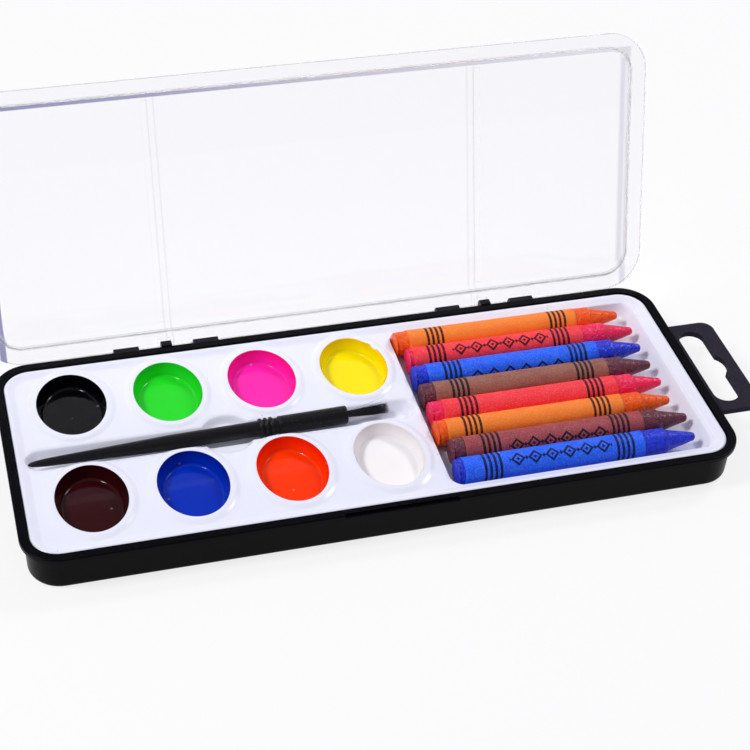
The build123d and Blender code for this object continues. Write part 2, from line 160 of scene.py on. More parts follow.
class Value:
    """A shader socket that can stand in a Python sum: each operator adds its Math node."""

    def __init__(self, finish: "Finish", socket: bpy.types.NodeSocket) -> None:
        """Keeps the socket and the finish whose nodes it belongs to."""
        self.finish = finish
        self.socket = socket

    def sum(self, operation: str, *others: "Value | float") -> "Value":
        """The Math node of that operation on this value and the others."""
        return self.finish.node("ShaderNodeMath", {"operation": operation}, self, *others)

    def __add__(self, other: "Value | float") -> "Value":
        """This value plus another."""
        return self.sum("ADD", other)

    __radd__ = __add__

    def __mul__(self, other: "Value | float") -> "Value":
        """This value times another."""
        return self.sum("MULTIPLY", other)

    __rmul__ = __mul__

    def __sub__(self, other: "Value | float") -> "Value":
        """This value less another."""
        return self.sum("SUBTRACT", other)

    def __rsub__(self, other: float) -> "Value":
        """A number less this value."""
        return self.finish.node("ShaderNodeMath", {"operation": "SUBTRACT"}, other, self)

    def __truediv__(self, other: "Value | float") -> "Value":
        """This value divided by another."""
        return self.sum("DIVIDE", other)

    def __abs__(self) -> "Value":
        """This value without its sign."""
        return self.sum("ABSOLUTE")

    def clip(self, low: float, high: float) -> "Value":
        """A smooth step between two values.

        Args:
            low: where the step is 0.
            high: where the step is 1, above low or below it.

        Returns:
            The step, from 0 to 1.
        """
        settings = {"interpolation_type": "SMOOTHSTEP"}
        if low < high:
            return self.finish.node("ShaderNodeMapRange", settings, self, low, high, 0.0, 1.0)
        return self.finish.node("ShaderNodeMapRange", settings, self, high, low, 1.0, 0.0)


class Finish:
    """One material's nodes, with a Principled shader at their end."""

    def __init__(self, name: str, **constants: object) -> None:
        """Makes the material.

        Args:
            name: name of the material.
            constants: values of the shader's own sockets, with _ for a space in their names.
        """
        self.material = bpy.data.materials.new(name)
        self.material.use_nodes = True
        self.tree = self.material.node_tree
        self.shader = self.tree.nodes["Principled BSDF"]
        self.output = self.tree.nodes["Material Output"]
        for key, value in constants.items():
            self.shader.inputs[key.replace("_", " ")].default_value = value

    def node(self, kind: str, settings: dict, *values: object, output: int | str = 0) -> Value:
        """Adds a node.

        Args:
            kind: the node's type.
            settings: its own settings, set before its sockets.
            values: a value or a link for each of its sockets in order, None to leave one.
            output: which of its outputs is wanted.

        Returns:
            That output.
        """
        made = self.tree.nodes.new(kind)
        for key, value in settings.items():
            setattr(made, key, value)
        sockets = [s for s in made.inputs if s.enabled and not s.is_unavailable]
        for socket, value in zip(sockets, values):
            self.put(socket, value)
        outputs = [s for s in made.outputs if s.enabled and not s.is_unavailable]
        return Value(self, made.outputs[output] if isinstance(output, str) else outputs[output])

    def put(self, socket: bpy.types.NodeSocket, value: object) -> None:
        """Links a value to a socket, or writes a number or colour there.

        Args:
            socket: the socket.
            value: a value to link, a number or colour to write, or None to leave it.
        """
        if isinstance(value, Value):
            self.tree.links.new(value.socket, socket)
        elif value is not None:
            socket.default_value = value

    def place(self, stretch: tuple = (1, 1, 1), source: str = "Object") -> Value:
        """Object coordinates in metres, or the piece's UV map, stretched by a Mapping node."""
        at = self.node("ShaderNodeTexCoord", {}, output=source)
        return self.node("ShaderNodeMapping", {}, at, None, None, stretch)

    def noise(self, size: float, detail: float = 3.0, stretch: tuple = (1, 1, 1)) -> Value:
        """Noise on Object coordinates.

        Args:
            size: width of its lumps in millimetres.
            detail: how much finer noise is added.
            stretch: how much denser it lies along each axis.

        Returns:
            The noise, from 0 to 1.
        """
        at = self.place(stretch)
        return self.node(
            "ShaderNodeTexNoise", {}, at, 1 / (size * MM), detail, 0.55, output="Fac"
        )

    def specks(self, size: float, share: float) -> Value:
        """Small round specks, each in a cell of its own.

        Args:
            size: width of the cells in millimetres.
            share: part of the cells that hold a speck.

        Returns:
            1 in the specks, else 0.
        """
        at = self.place()
        away = self.node("ShaderNodeTexVoronoi", {}, at, 1 / (size * MM), output="Distance")
        cell = self.node("ShaderNodeTexVoronoi", {}, at, 1 / (size * MM), output="Color")
        chance = self.node("ShaderNodeSeparateColor", {}, cell)
        return away.clip(0.2, 0.1) * chance.clip(share + 0.02, share)

    def axis(self, letter: str, source: str = "Object") -> Value:
        """One coordinate, in metres for Object coordinates."""
        at = self.node("ShaderNodeTexCoord", {}, output=source)
        return self.node("ShaderNodeSeparateXYZ", {}, at, output=letter)

    def blend(self, factor: "Value | float", under: object, over: object) -> Value:
        """Mixes two colours by a factor."""
        return self.node("ShaderNodeMix", {"data_type": "RGBA"}, factor, under, over)

    def bump(self, height: Value, depth: float, strength: float = 1.0) -> None:
        """Sends a height through a Bump node to the shader's Normal; depth in millimetres."""
        self.send(Normal=self.node("ShaderNodeBump", {}, strength, depth * MM, 1.0, height))

    def send(self, **values: object) -> None:
        """Puts values or links on the shader's sockets, with _ for a space in their names."""
        for key, value in values.items():
            self.put(self.shader.inputs[key.replace("_", " ")], value)


def shade(red: int, green: int, blue: int) -> tuple[float, float, float, float]:
    """Turns a colour as seen on a screen into the linear colour that a shader takes.

    Args:
        red: its red from 0 to 255.
        green: its green.
        blue: its blue.

    Returns:
        Its linear red, green and blue from 0 to 1, and an alpha of 1.
    """
    parts = np.array([red, green, blue]) / 255
    linear = np.where(parts <= 0.04045, parts / 12.92, ((parts + 0.055) / 1.055) ** 2.4)
    return (*linear.tolist(), 1.0)


# Finishes


@dataclass(frozen=True)
class BlackPlastic:
    """Black moulded plastic: satin, finely grained, and matt with pale dust on the hanging tab.

    Args:
        tab_from: where the matt tab begins along X, in millimetres.
        ears_from: where the paler hinge ears begin along Y, in millimetres.
        grain: width of the grain's lumps in millimetres.
    """

    tab_from: float = 93.5
    ears_from: float = 37.6
    grain: float = 0.35

    def material(self) -> bpy.types.Material:
        """Makes the finish's nodes.

        Returns:
            The finish as a material.
        """
        finish = Finish("black_case_plastic", Specular_IOR_Level=0.06)
        tab = finish.axis("X").clip(self.tab_from * MM, (self.tab_from + 1.0) * MM)
        ears = finish.axis("Y").clip(self.ears_from * MM, (self.ears_from + 0.2) * MM)
        cloud = finish.noise(9.0)
        dust = finish.specks(0.55, 0.45) * tab
        plain = finish.blend(cloud, shade(4, 4, 7), shade(9, 9, 13))
        matt = finish.blend(cloud, shade(38, 35, 46), shade(48, 44, 56))
        colour = finish.blend(tab + ears * 0.5, plain, matt)
        finish.send(Base_Color=finish.blend(dust * 0.5, colour, shade(112, 108, 122)))
        finish.send(Roughness=finish.noise(3.0) * 0.16 + 0.24 + tab * 0.22)
        finish.bump(finish.noise(self.grain) + finish.noise(2.5) * 0.6, 0.03, 0.35)
        return finish.material


@dataclass(frozen=True)
class ClearPlastic:
    """Clear moulded plastic, a few hair scratches, with painted lilac shade along the bend where
    its panel turns up from the flange and painted shade lines beside its ribs.

    Args:
        tint: its colour through the thickness.
        edge: the colour of the painted shade line along the bend round the panel, where light runs
            along it.
        hinge: Y and Z of the hinge in millimetres.
        open_angle: how far the lid stands open, in degrees.
        panel: X and Y of the panel's front right corner in the shut lid, in millimetres.
        rib: X halfway between the two painted shade lines for each rib, in millimetres, left or
            right.
        rib_half: half the distance between the two lines, in millimetres.
        painted_rib_shade_strength: how strongly the painted shade lines show.
    """

    tint: tuple = (0.95, 0.945, 0.985, 1.0)
    edge: tuple = (0.04, 0.03, 0.26, 1.0)
    hinge: tuple = (38.1, 8.0)
    open_angle: float = 106.1
    panel: tuple = (89.8, -33.4)
    rib: float = 44.0
    rib_half: float = 0.9
    painted_rib_shade_strength: float = 0.16

    def within(self, finish: Finish) -> Value:
        """How far a point lies inside the panel's edge, in metres, less than 0 on the flange.

        The open lid is turned back to its shut place about the hinge, and the nearer of its end
        and its front edge counts.

        Args:
            finish: the finish whose nodes it belongs to.

        Returns:
            The distance.
        """
        turn = math.radians(self.open_angle)
        hinge_y, hinge_z = (part * MM for part in self.hinge)
        behind = (finish.axis("Y") - hinge_y) * math.cos(turn)
        back = behind - (finish.axis("Z") - hinge_z) * math.sin(turn) + hinge_y
        from_end = self.panel[0] * MM - abs(finish.axis("X"))
        return from_end.sum("MINIMUM", back - self.panel[1] * MM)

    def painted_bend_shade(self, finish: Finish, inside: Value) -> Value:
        """1 along the painted shade line on the bend round the panel, strongest at its left."""
        line = inside.clip(-0.3 * MM, -0.1 * MM) * inside.clip(1.7 * MM, 1.3 * MM)
        # the painted shade is strongest at the lid's left and fainter towards its right
        return line * (finish.axis("X").clip(0.1, -0.09) * 0.6 + 0.3)

    def painted_rib_shade(self, finish: Finish, inside: Value) -> Value:
        """1 along the two painted shade lines beside each rib."""
        across = abs(abs(abs(finish.axis("X")) - self.rib * MM) - self.rib_half * MM)
        return across.clip(0.28 * MM, 0.12 * MM) * inside.clip(1.0 * MM, 2.0 * MM)

    def material(self) -> bpy.types.Material:
        """Makes the finish's nodes; light passes straight through it to what lies below.

        Returns:
            The finish as a material.
        """
        finish = Finish("clear_lid_plastic", Transmission_Weight=1.0, IOR=1.4, Alpha=0.7)
        scuffs = finish.noise(6.0, 6.0, (1, 8, 1)).clip(0.62, 0.7)
        cloud = finish.noise(30.0)
        clear = finish.blend(cloud * 0.2, self.tint, shade(250, 249, 254))
        inside = self.within(finish)
        # painted shade: the dark lilac line along the bend and the faint lines beside the ribs
        lines = self.painted_bend_shade(finish, inside) + self.painted_rib_shade(finish, inside) * self.painted_rib_shade_strength
        finish.send(Base_Color=finish.blend(lines, clear, self.edge))
        finish.send(Roughness=scuffs * 0.05 + 0.015)
        finish.bump(finish.noise(22.0, 1.0), 0.05, 0.06)
        through = finish.tree.nodes.new("ShaderNodeBsdfTransparent")
        path = finish.node("ShaderNodeLightPath", {}, output="Is Shadow Ray")
        mix = finish.tree.nodes.new("ShaderNodeMixShader")
        finish.put(mix.inputs["Fac"], path * 0.9)
        finish.tree.links.new(finish.shader.outputs[0], mix.inputs[1])
        finish.tree.links.new(through.outputs[0], mix.inputs[2])
        finish.tree.links.new(mix.outputs[0], finish.output.inputs["Surface"])
        return finish.material


@dataclass(frozen=True)
class WhitePlastic:
    """The tray's thin white plastic, softly glossy, a little uneven, with a few paint specks.

    Args:
        body: its colour.
        shade_of_dip: its colour where it turns a little cooler.
    """

    body: tuple = field(default_factory=lambda: shade(243, 244, 254))
    shade_of_dip: tuple = field(default_factory=lambda: shade(239, 239, 252))

    def material(self) -> bpy.types.Material:
        """Makes the finish's nodes.

        Returns:
            The finish as a material.
        """
        finish = Finish("white_tray_plastic", Specular_IOR_Level=0.32)
        cloud = finish.noise(24.0, 2.0)
        specks = finish.specks(1.1, 0.004)
        colour = finish.blend(cloud, self.body, self.shade_of_dip)
        finish.send(Base_Color=finish.blend(specks * 0.7, colour, shade(150, 90, 120)))
        finish.send(Roughness=finish.noise(9.0) * 0.08 + 0.2)
        finish.bump(finish.noise(14.0, 1.0), 0.1, 0.25)
        return finish.material


@dataclass(frozen=True)
class PaintFinish:
    """A cake of glossy hard paint.

    Args:
        floor: its colour on the floor of the dish.
        wall: its colour up the wall.
        name: the paint's name.
        low: height of the dish's floor in millimetres.
        high: height of the rim in millimetres.
    """

    floor: tuple
    wall: tuple
    name: str
    low: float
    high: float

    def material(self) -> bpy.types.Material:
        """Makes the finish's nodes.

        Returns:
            The finish as a material.
        """
        finish = Finish("paint_" + self.name, Specular_IOR_Level=0.08, Coat_Roughness=0.03)
        climb = finish.axis("Z").clip((self.low + 0.4) * MM, self.high * MM)
        cloud = finish.noise(5.0) - 0.5
        colour = finish.blend(climb + cloud * 0.3, self.floor, self.wall)
        specks = finish.specks(2.4, 0.03)
        finish.send(Base_Color=finish.blend(specks * 0.15, colour, shade(235, 232, 235)))
        finish.send(Roughness=finish.noise(2.2) * 0.08 + 0.08)
        finish.send(Coat_Weight=finish.noise(8.0) * 0.12 + 0.18)
        finish.bump(finish.noise(6.0, 1.0), 0.06, 0.25)
        return finish.material


@dataclass(frozen=True)
class WaxFinish:
    """Crayon wax: soft, slightly mottled, with rubbed marks and pits.

    Args:
        name: the wax's name.
        body: its colour.
        deep: its colour in the dull and pitted places.
        pale: the colour of its small scuffed flecks.
    """

    name: str
    body: tuple
    deep: tuple
    pale: tuple = field(default_factory=lambda: shade(226, 214, 226))

    def material(self) -> bpy.types.Material:
        """Makes the finish's nodes.

        Returns:
            The finish as a material.
        """
        finish = Finish("wax_" + self.name, Specular_IOR_Level=0.3)
        rubs = finish.noise(1.1, 6.0, (0.7, 1, 1))
        pits = finish.noise(0.5, 3.0).clip(0.56, 0.68)
        dull = rubs.clip(0.42, 0.6) * 0.7 + pits * 0.45
        flecks = finish.noise(0.25, 6.0, (0.8, 1, 1)).clip(0.56, 0.72)
        colour = finish.blend(dull * 0.8, self.body, self.deep)
        finish.send(Base_Color=finish.blend(flecks * 0.2, colour, self.pale))
        finish.send(Roughness=rubs * 0.3 + 0.17)
        finish.bump(rubs * 1.6 - pits + finish.noise(0.4, 3.0) * 0.5, 0.3, 0.85)
        return finish.material


class Ornament(Enum):
    """What is printed along a wrapper between its bands."""

    BARE = 0
    LOZENGES = 1


@dataclass(frozen=True)
class WrapperFinish:
    """Printed paper round a crayon: fibres, rubbed ink, four dark bands near each end.

    The map's u is the distance from the wrapper's left end in tenths of metres, and its v is the
    part of a turn round the crayon.

    Args:
        name: the crayon's name.
        paper: its colour.
        worn: its colour where it is rubbed.
        bands: where the two groups of bands start, in millimetres from the left end.
        ornament: what is printed between them.
    """

    name: str
    paper: tuple
    worn: tuple
    bands: tuple
    ornament: Ornament
    band_count: int = 4
    band_pitch: float = 1.38
    band_width: float = 0.72
    girth: float = 22.9

    def worn_deep(self) -> tuple:
        """The worn colour at two thirds of its brightness."""
        return (*(part * 0.66 for part in self.worn[:3]), 1.0)

    def band(self, finish: Finish, along: Value) -> Value:
        """The dark bands: a line at each of band_count places in both groups.

        Args:
            finish: the finish whose nodes they belong to.
            along: distance from the wrapper's left end in millimetres.

        Returns:
            1 inside a band, else 0.
        """
        ink = 0.0
        for start in self.bands:
            middle = start + (self.band_count - 1) * self.band_pitch / 2
            span = self.band_count * self.band_pitch / 2
            inside = abs(along - middle).clip(span + 0.02, span - 0.02)
            turn = (along - start) / self.band_pitch + 0.5
            away = abs(turn.sum("FRACT") - 0.5) * self.band_pitch
            ink = inside * away.clip(self.band_width / 2 + 0.06, self.band_width / 2 - 0.06) + ink
        return ink

    def lozenges(self, along: Value, around: Value) -> Value:
        """A row of plain lozenges, large and small in turn, between the bands.

        A lozenge is where the distances across and down, each over its half size, sum to 1.

        Args:
            along: distance from the wrapper's left end in millimetres.
            around: distance from the print's middle line in millimetres.

        Returns:
            1 inside the ink, else 0.
        """
        left = self.bands[0] + self.band_count * self.band_pitch + 1.0
        right = self.bands[1] - 1.6
        pitch = (right - left) / 6
        half = (right - left) / 2
        inside = abs(along - (left + right) / 2).clip(half, half - 0.02)
        turn = (along - left) / pitch
        across = abs(turn.sum("FRACT") - 0.5) * pitch
        down = abs(around)
        large = (across / 1.95 + down / 1.95).clip(1.03, 0.97)
        heart = (across / 1.15 + down / 1.15).clip(0.95, 1.05)
        kernel = (across / 0.5 + down / 0.5).clip(1.1, 0.9)
        between = abs((turn + 0.5).sum("FRACT") - 0.5) * pitch
        small = (between / 0.5 + down / 0.6).clip(1.08, 0.92)
        return (large * heart + kernel + small) * inside

    def material(self) -> bpy.types.Material:
        """Makes the finish's nodes.

        Returns:
            The finish as a material.
        """
        finish = Finish("wrapper_" + self.name, Specular_IOR_Level=0.22)
        along = finish.axis("X", "UV") * 100
        around = (finish.axis("Y", "UV") - 0.5) * self.girth
        fibre = finish.noise(0.45, 5.0, (0.45, 1, 1))
        rubbed = finish.noise(2.6, 6.0, (0.5, 1, 1))
        paper = finish.blend(rubbed.clip(0.45, 0.7) * 0.6 + fibre * 0.2, self.paper, self.worn)
        bright = finish.noise(0.22, 6.0, (0.8, 1, 1)).clip(0.5, 0.66)
        paper = finish.blend(bright * 0.16, paper, shade(246, 226, 232))
        worn_dark = finish.noise(0.3, 6.0, (0.8, 1, 1)).clip(0.44, 0.32)
        paper = finish.blend(worn_dark * 0.2, paper, self.worn_deep())
        dirt = finish.specks(0.9, 0.1) + finish.noise(0.8, 3.0).clip(0.7, 0.76)
        paper = finish.blend(dirt * 0.34, paper, shade(40, 30, 45))
        ink = self.band(finish, along)
        if self.ornament is Ornament.LOZENGES:
            ink = ink + self.lozenges(along, around)
        patchy = finish.noise(0.45, 5.0).clip(0.28, 0.5) * 0.3 + 0.66
        finish.send(Base_Color=finish.blend(ink * patchy, paper, shade(14, 9, 24)))
        finish.send(Roughness=fibre * 0.25 + 0.38)
        finish.bump(fibre * 1.2 + rubbed * 1.6, 0.12, 0.7)
        return finish.material


@dataclass(frozen=True)
class BrushPlastic:
    """Satin black plastic of the brush, rougher and speckled on the ferrule.

    Args:
        name: the finish's name.
        speckle: how strongly pale specks show.
        grain: depth of the grain in millimetres.
    """

    name: str
    speckle: float
    grain: float

    def material(self) -> bpy.types.Material:
        """Makes the finish's nodes.

        Returns:
            The finish as a material.
        """
        finish = Finish(self.name, Specular_IOR_Level=0.3)
        rough = finish.noise(0.35, 5.0, (0.7, 1, 1))
        specks = rough.clip(0.6, 0.7) * self.speckle
        base = finish.blend(finish.noise(4.0), shade(3, 3, 5), shade(7, 7, 10))
        finish.send(Base_Color=finish.blend(specks, base, shade(96, 92, 104)))
        finish.send(Roughness=rough * 0.2 + 0.3)
        finish.bump(rough, self.grain, 0.6)
        return finish.material


@dataclass(frozen=True)
class HairFinish:
    """Black brush hair, its colour a little darker or paler at random along the strands."""

    def material(self) -> bpy.types.Material:
        """Makes the finish's nodes.

        Returns:
            The finish as a material.
        """
        finish = Finish("brush_hair", Specular_IOR_Level=0.6)
        strand = finish.noise(0.3, 2.0, (0.1, 1, 1))
        finish.send(Base_Color=finish.blend(strand, shade(8, 8, 12), shade(30, 29, 38)))
        finish.send(Roughness=strand * 0.2 + 0.3)
        finish.bump(strand, 0.02, 0.3)
        return finish.material


# Sub-assemblies


def dress(node: str, material: bpy.types.Material) -> None:
    """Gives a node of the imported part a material.

    Args:
        node: name of the node.
        material: its finish.
    """
    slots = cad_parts[node].data.materials
    slots.clear()
    slots.append(material)
    LOG.info("dressed %s", node)


@dataclass
class Case:
    """The black case: the part's own node, dressed."""

    plastic: BlackPlastic = field(default_factory=BlackPlastic)

    def build(self) -> None:
        """Dresses the case."""
        dress("case_base", self.plastic.material())


@dataclass
class Lid:
    """The clear lid: the part's own node, dressed."""

    plastic: ClearPlastic = field(default_factory=ClearPlastic)

    def build(self) -> None:
        """Dresses the lid."""
        dress("clear_lid", self.plastic.material())


SIDE_STEP = 1.2


@dataclass
class Tray:
    """The white tray as one soft sheet: wells with raised rims, the trough and the crayon box.

    Its top is a height over the plan, drawn as rings that follow each edge and joined by a
    triangulation. All sizes are in millimetres.
    """

    crest: float = 10.7
    deck: float = 9.85
    skirt: float = 8.3
    corner: float = 7.3
    wall: float = 0.7
    edge_radius: float = 0.75
    crest_inner: float = 0.6
    border_foot: float = 3.3
    halo_height: float = 0.55
    halo_foot: float = 2.9
    halo_crest: float = 1.1
    rim_radius: float = 0.3
    well_half: tuple = (8.9, 12.0)
    well_depth: float = 4.8
    floor_inset: float = 1.0
    trough_half: float = 3.5
    trough_depth: float = 2.8
    trough_slope: float = 1.2
    trough_ends: tuple = (-88.2, 13.6)
    grip_x: float = -36.6
    grip_radius: float = 7.1
    grip_depth: float = 1.9
    grip_slope: float = 1.1
    box_low: tuple = (15.2, -30.9)
    box_high: tuple = (84.5, 30.9)
    box_top_low: tuple = (14.95, -31.7)
    box_top_high: tuple = (86.7, 31.7)
    box_corner: float = 4.0
    box_floor: float = 5.6
    border_rings: tuple = (
        (0.0, 0.04, 0.1, 0.2, 0.35, 0.55, 0.75, 1.1, 1.5, 1.9, 2.3, 2.7, 3.0, 3.3)
    )
    halo_rings: tuple = (2.9, 2.6, 2.3, 2.0, 1.7, 1.4, 1.1, 0.7, 0.3, 0.2, 0.12, 0.06, 0.02)
    well_rings: tuple = ((0.0, 0.0), (0.5, -0.35), (0.86, -0.62), (0.96, -0.82), (1.0, -1.4))
    trough_rings: tuple = (0.35, 0.12, -0.12, -0.4, -0.7, -1.0, -1.3, -1.55)
    grip_rings: tuple = (0.3, 0.1, -0.15, -0.45, -0.75, -1.1, -1.4)
    around: int = 128
    grip_around: int = 96
    mesh_step: float = 2.0

    def __post_init__(self) -> None:
        """Reads the tray's size and the wells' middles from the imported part."""
        low, high = node_box("insert_tray")
        self.half = (high[:2] - low[:2]) / 2
        boxes = [node_box("paint_" + name) for name in PAINTS]
        self.wells = [(low[:2] + high[:2]) / 2 for low, high in boxes]
        self.well_floor = self.deck + self.halo_height - self.well_depth

    def border(self, inside: np.ndarray) -> np.ndarray:
        """Height of the border by distance inside the outline.

        A quarter circle rises from the skirt to the crest, which stays level and then falls to
        the deck along a smooth step.

        Args:
            inside: distance inside the tray's outline at each spot.

        Returns:
            The height at each spot.
        """
        rise = np.clip(inside / self.edge_radius, 0, 1)
        edge = self.crest - self.edge_radius * (1 - np.sqrt(1 - (1 - rise) ** 2))
        fall = np.clip((inside - self.crest_inner) / (self.border_foot - self.crest_inner), 0, 1)
        return edge - (self.crest - self.deck) * fall**2 * (3 - 2 * fall)

    def halo(self, out: np.ndarray) -> np.ndarray:
        """Height over the deck of a well's raised rim: a smooth step, rounded off at the well.

        Args:
            out: distance outside the well's edge at each spot.

        Returns:
            The height at each spot.
        """
        climb = np.clip((self.halo_foot - out) / (self.halo_foot - self.halo_crest), 0, 1)
        roll = np.clip(out / self.rim_radius, 0, 1)
        rim = self.rim_radius * (1 - np.sqrt(1 - (1 - roll) ** 2))
        return self.halo_height * climb**2 * (3 - 2 * climb) - rim

    def oval_distance(self, spot: np.ndarray, middle: np.ndarray) -> np.ndarray:
        """How much the well's two half sizes grow until the oval passes through each spot.

        Newton steps on (x / (a + e))^2 + (y / (b + e))^2 = 1.

        Args:
            spot: one row of x, y for each spot.
            middle: x, y of the well's middle.

        Returns:
            The growth e at each spot, negative inside the well.
        """
        x, y = np.abs(spot - middle).T
        a, b = self.well_half
        grow = np.hypot(x, y) - b + 2.0
        for _ in range(12):
            grow = np.maximum(grow, -a + 0.6)
            value = (x / (a + grow)) ** 2 + (y / (b + grow)) ** 2 - 1
            slope = -2 * (x**2 / (a + grow) ** 3 + y**2 / (b + grow) ** 3)
            grow = grow - value / np.minimum(slope, -1e-6)
        return grow

    def trough_distance(self, spot: np.ndarray) -> np.ndarray:
        """Distance outside the trough's long rounded outline.

        Args:
            spot: one row of x, y for each spot.

        Returns:
            The distance at each spot, negative inside the trough.
        """
        x, y = spot.T
        left, right = self.trough_ends
        nearest = np.clip(x, left + self.trough_half, right - self.trough_half)
        return np.hypot(x - nearest, y) - self.trough_half

    def dip(self, out: np.ndarray, slope: float, depth: float, soft: float) -> np.ndarray:
        """Depth of a hollow by distance outside its edge: a slanted wall with soft corners.

        A straight ramp and a smooth step over the same width are mixed.

        Args:
            out: distance outside the hollow's edge at each spot.
            slope: width of the wall.
            depth: depth of the hollow.
            soft: how far the corners reach beyond the wall.

        Returns:
            The depth at each spot.
        """
        ramp = np.clip((soft - out) / (slope + 2 * soft), 0, 1)
        eased = ramp**2 * (3 - 2 * ramp)
        return depth * (0.55 * eased + 0.45 * ramp)

    def height(self, spot: np.ndarray) -> np.ndarray:
        """Height of the tray's top away from the wells' and the box's walls.

        The border's height, with the rims of the wells added and the deeper of the trough and
        its grip taken away.

        Args:
            spot: one row of x, y for each spot.

        Returns:
            The height at each spot.
        """
        beyond = np.abs(spot) - (self.half - self.corner)
        corner = np.hypot(*np.maximum(beyond, 0).T)
        inside = self.corner - corner - np.minimum(beyond.max(1), 0)
        top = self.border(inside)
        for middle in self.wells:
            out = self.oval_distance(spot, middle)
            top = top + np.where(out < self.halo_foot, self.halo(out), 0)
        trough = self.dip(self.trough_distance(spot), self.trough_slope, self.trough_depth, 0.35)
        grip_out = np.hypot(spot[:, 0] - self.grip_x, spot[:, 1]) - self.grip_radius
        grip = self.dip(grip_out, self.grip_slope, self.grip_depth, 0.3)
        return top - np.maximum(trough, grip)

    def rounded(self, low: np.ndarray, high: np.ndarray, corner: float, count: int) -> np.ndarray:
        """Points round a rectangle with round corners: a quarter circle at each, then a side.

        Args:
            low: lowest x, y.
            high: highest x, y.
            corner: radius of the corners.
            count: how many points each corner has.

        Returns:
            One row of x, y for each point.
        """
        middle = (np.array(low) + high) / 2
        half = (np.array(high) - low) / 2
        rows = []
        for turn, sign in enumerate(((1, 1), (-1, 1), (-1, -1), (1, -1))):
            arc = turn * math.pi / 2 + np.linspace(0, math.pi / 2, count)
            centre = middle + np.array(sign) * (half - corner)
            rows.append(centre + corner * np.stack([np.cos(arc), np.sin(arc)], 1))
        closed = []
        for turn in range(4):
            here, beyond = rows[turn], rows[(turn + 1) % 4]
            length = np.hypot(*(beyond[0] - here[-1]))
            steps = max(2, int(round(length / SIDE_STEP)))
            share = np.linspace(0, 1, steps + 1)[1:-1, None]
            closed += [here, here[-1] + (beyond[0] - here[-1]) * share]
        return np.concatenate(closed)

    def oval(self, middle: np.ndarray, grow: float) -> np.ndarray:
        """Points round a well's oval.

        Args:
            middle: x, y of the well's middle.
            grow: how much its half sizes grow.

        Returns:
            One row of x, y for each point.
        """
        turn = np.linspace(0, TURN, self.around, endpoint=False)
        a, b = self.well_half
        return middle + np.stack([(a + grow) * np.cos(turn), (b + grow) * np.sin(turn)], 1)

    def slot_ring(self, grow: float) -> np.ndarray:
        """Points round the trough's outline.

        Args:
            grow: how far outside the outline they lie.

        Returns:
            One row of x, y for each point.
        """
        left, right = self.trough_ends
        low = np.array([left - grow, -self.trough_half - grow])
        high = np.array([right + grow, self.trough_half + grow])
        return self.rounded(low, high, self.trough_half + grow - 1e-3, 13)

    def rings(self) -> list[tuple[np.ndarray, np.ndarray | float | None]]:
        """Every ring of the plan with its height.

        Returns:
            For each ring its points and their height, or None where height() gives it.
        """
        rings = []
        for inside in self.border_rings:
            ring = self.rounded(-self.half + inside, self.half - inside, self.corner - inside, 15)
            rings.append((ring, None if inside > 0 else self.skirt))
        rim = self.deck + self.halo_height - self.rim_radius
        for middle in self.wells:
            rings += [(self.oval(middle, out), None) for out in self.halo_rings]
            for share, grow in self.well_rings:
                rings.append((self.oval(middle, grow), rim + (self.well_floor - rim) * share))
        rings += [(self.slot_ring(grow), None) for grow in self.trough_rings]
        turn = np.linspace(0, TURN, self.grip_around, endpoint=False)
        circle = np.stack([np.cos(turn), np.sin(turn)], 1)
        for grow in self.grip_rings:
            rings.append((circle * (self.grip_radius + grow) + (self.grip_x, 0), None))
        for share, drop in self.box_profile():
            low = np.array(self.box_top_low) * (1 - share) + np.array(self.box_low) * share
            high = np.array(self.box_top_high) * (1 - share) + np.array(self.box_high) * share
            ring = self.rounded(low, high, self.box_corner, 11)
            rings.append((ring, self.height(ring) - drop))
        return rings

    def box_profile(self) -> list[tuple[float, float]]:
        """The box's wall: a round edge above, a straight slant and a wider round at its foot.

        Returns:
            For each ring how far it lies from the top outline to the floor's, and its depth.
        """
        deep = self.deck - self.box_floor
        return [
            (-0.6, 0.0),
            (-0.35, 0.03),
            (-0.12, 0.16),
            (0.02, 0.4),
            (0.3, deep * 0.36),
            (0.62, deep * 0.68),
            (0.85, deep * 0.88),
            (1.15, deep * 0.975),
            (1.6, deep),
        ]

    def drawing(self) -> tuple[np.ndarray, np.ndarray, np.ndarray]:
        """All rings and the grid between them as one drawing.

        Returns:
            One row of x, y for each point, its height or NaN, and the numbers of the two points
            at the ends of each edge.
        """
        levels, edges, total = [], [], 0
        rings = self.rings()
        for ring, level in rings:
            count = len(ring)
            number = np.arange(count)
            edges.append(np.stack([number, (number + 1) % count], 1) + total)
            levels.append(np.full(count, np.nan if level is None else level))
            total += count
        lines = np.concatenate([ring for ring, _ in rings])
        grid = self.sparse_grid(lines)
        levels.append(np.full(len(grid), np.nan))
        return np.concatenate([lines, grid]), np.concatenate(levels), np.concatenate(edges)

    def surface(self, spots: np.ndarray, given: np.ndarray) -> np.ndarray:
        """Height at each spot.

        Args:
            spots: one row of x, y for each spot.
            given: the height that a ring gives it, or NaN.

        Returns:
            The given height, or else that of the floor or the top that the spot lies on.
        """
        top = np.where(self.floor_of_box(spots), self.box_floor, self.height(spots))
        for middle in self.wells:
            deep = self.oval_distance(spots, middle) < -self.floor_inset
            top = np.where(deep, self.well_floor, top)
        return np.where(np.isnan(given), top, given)

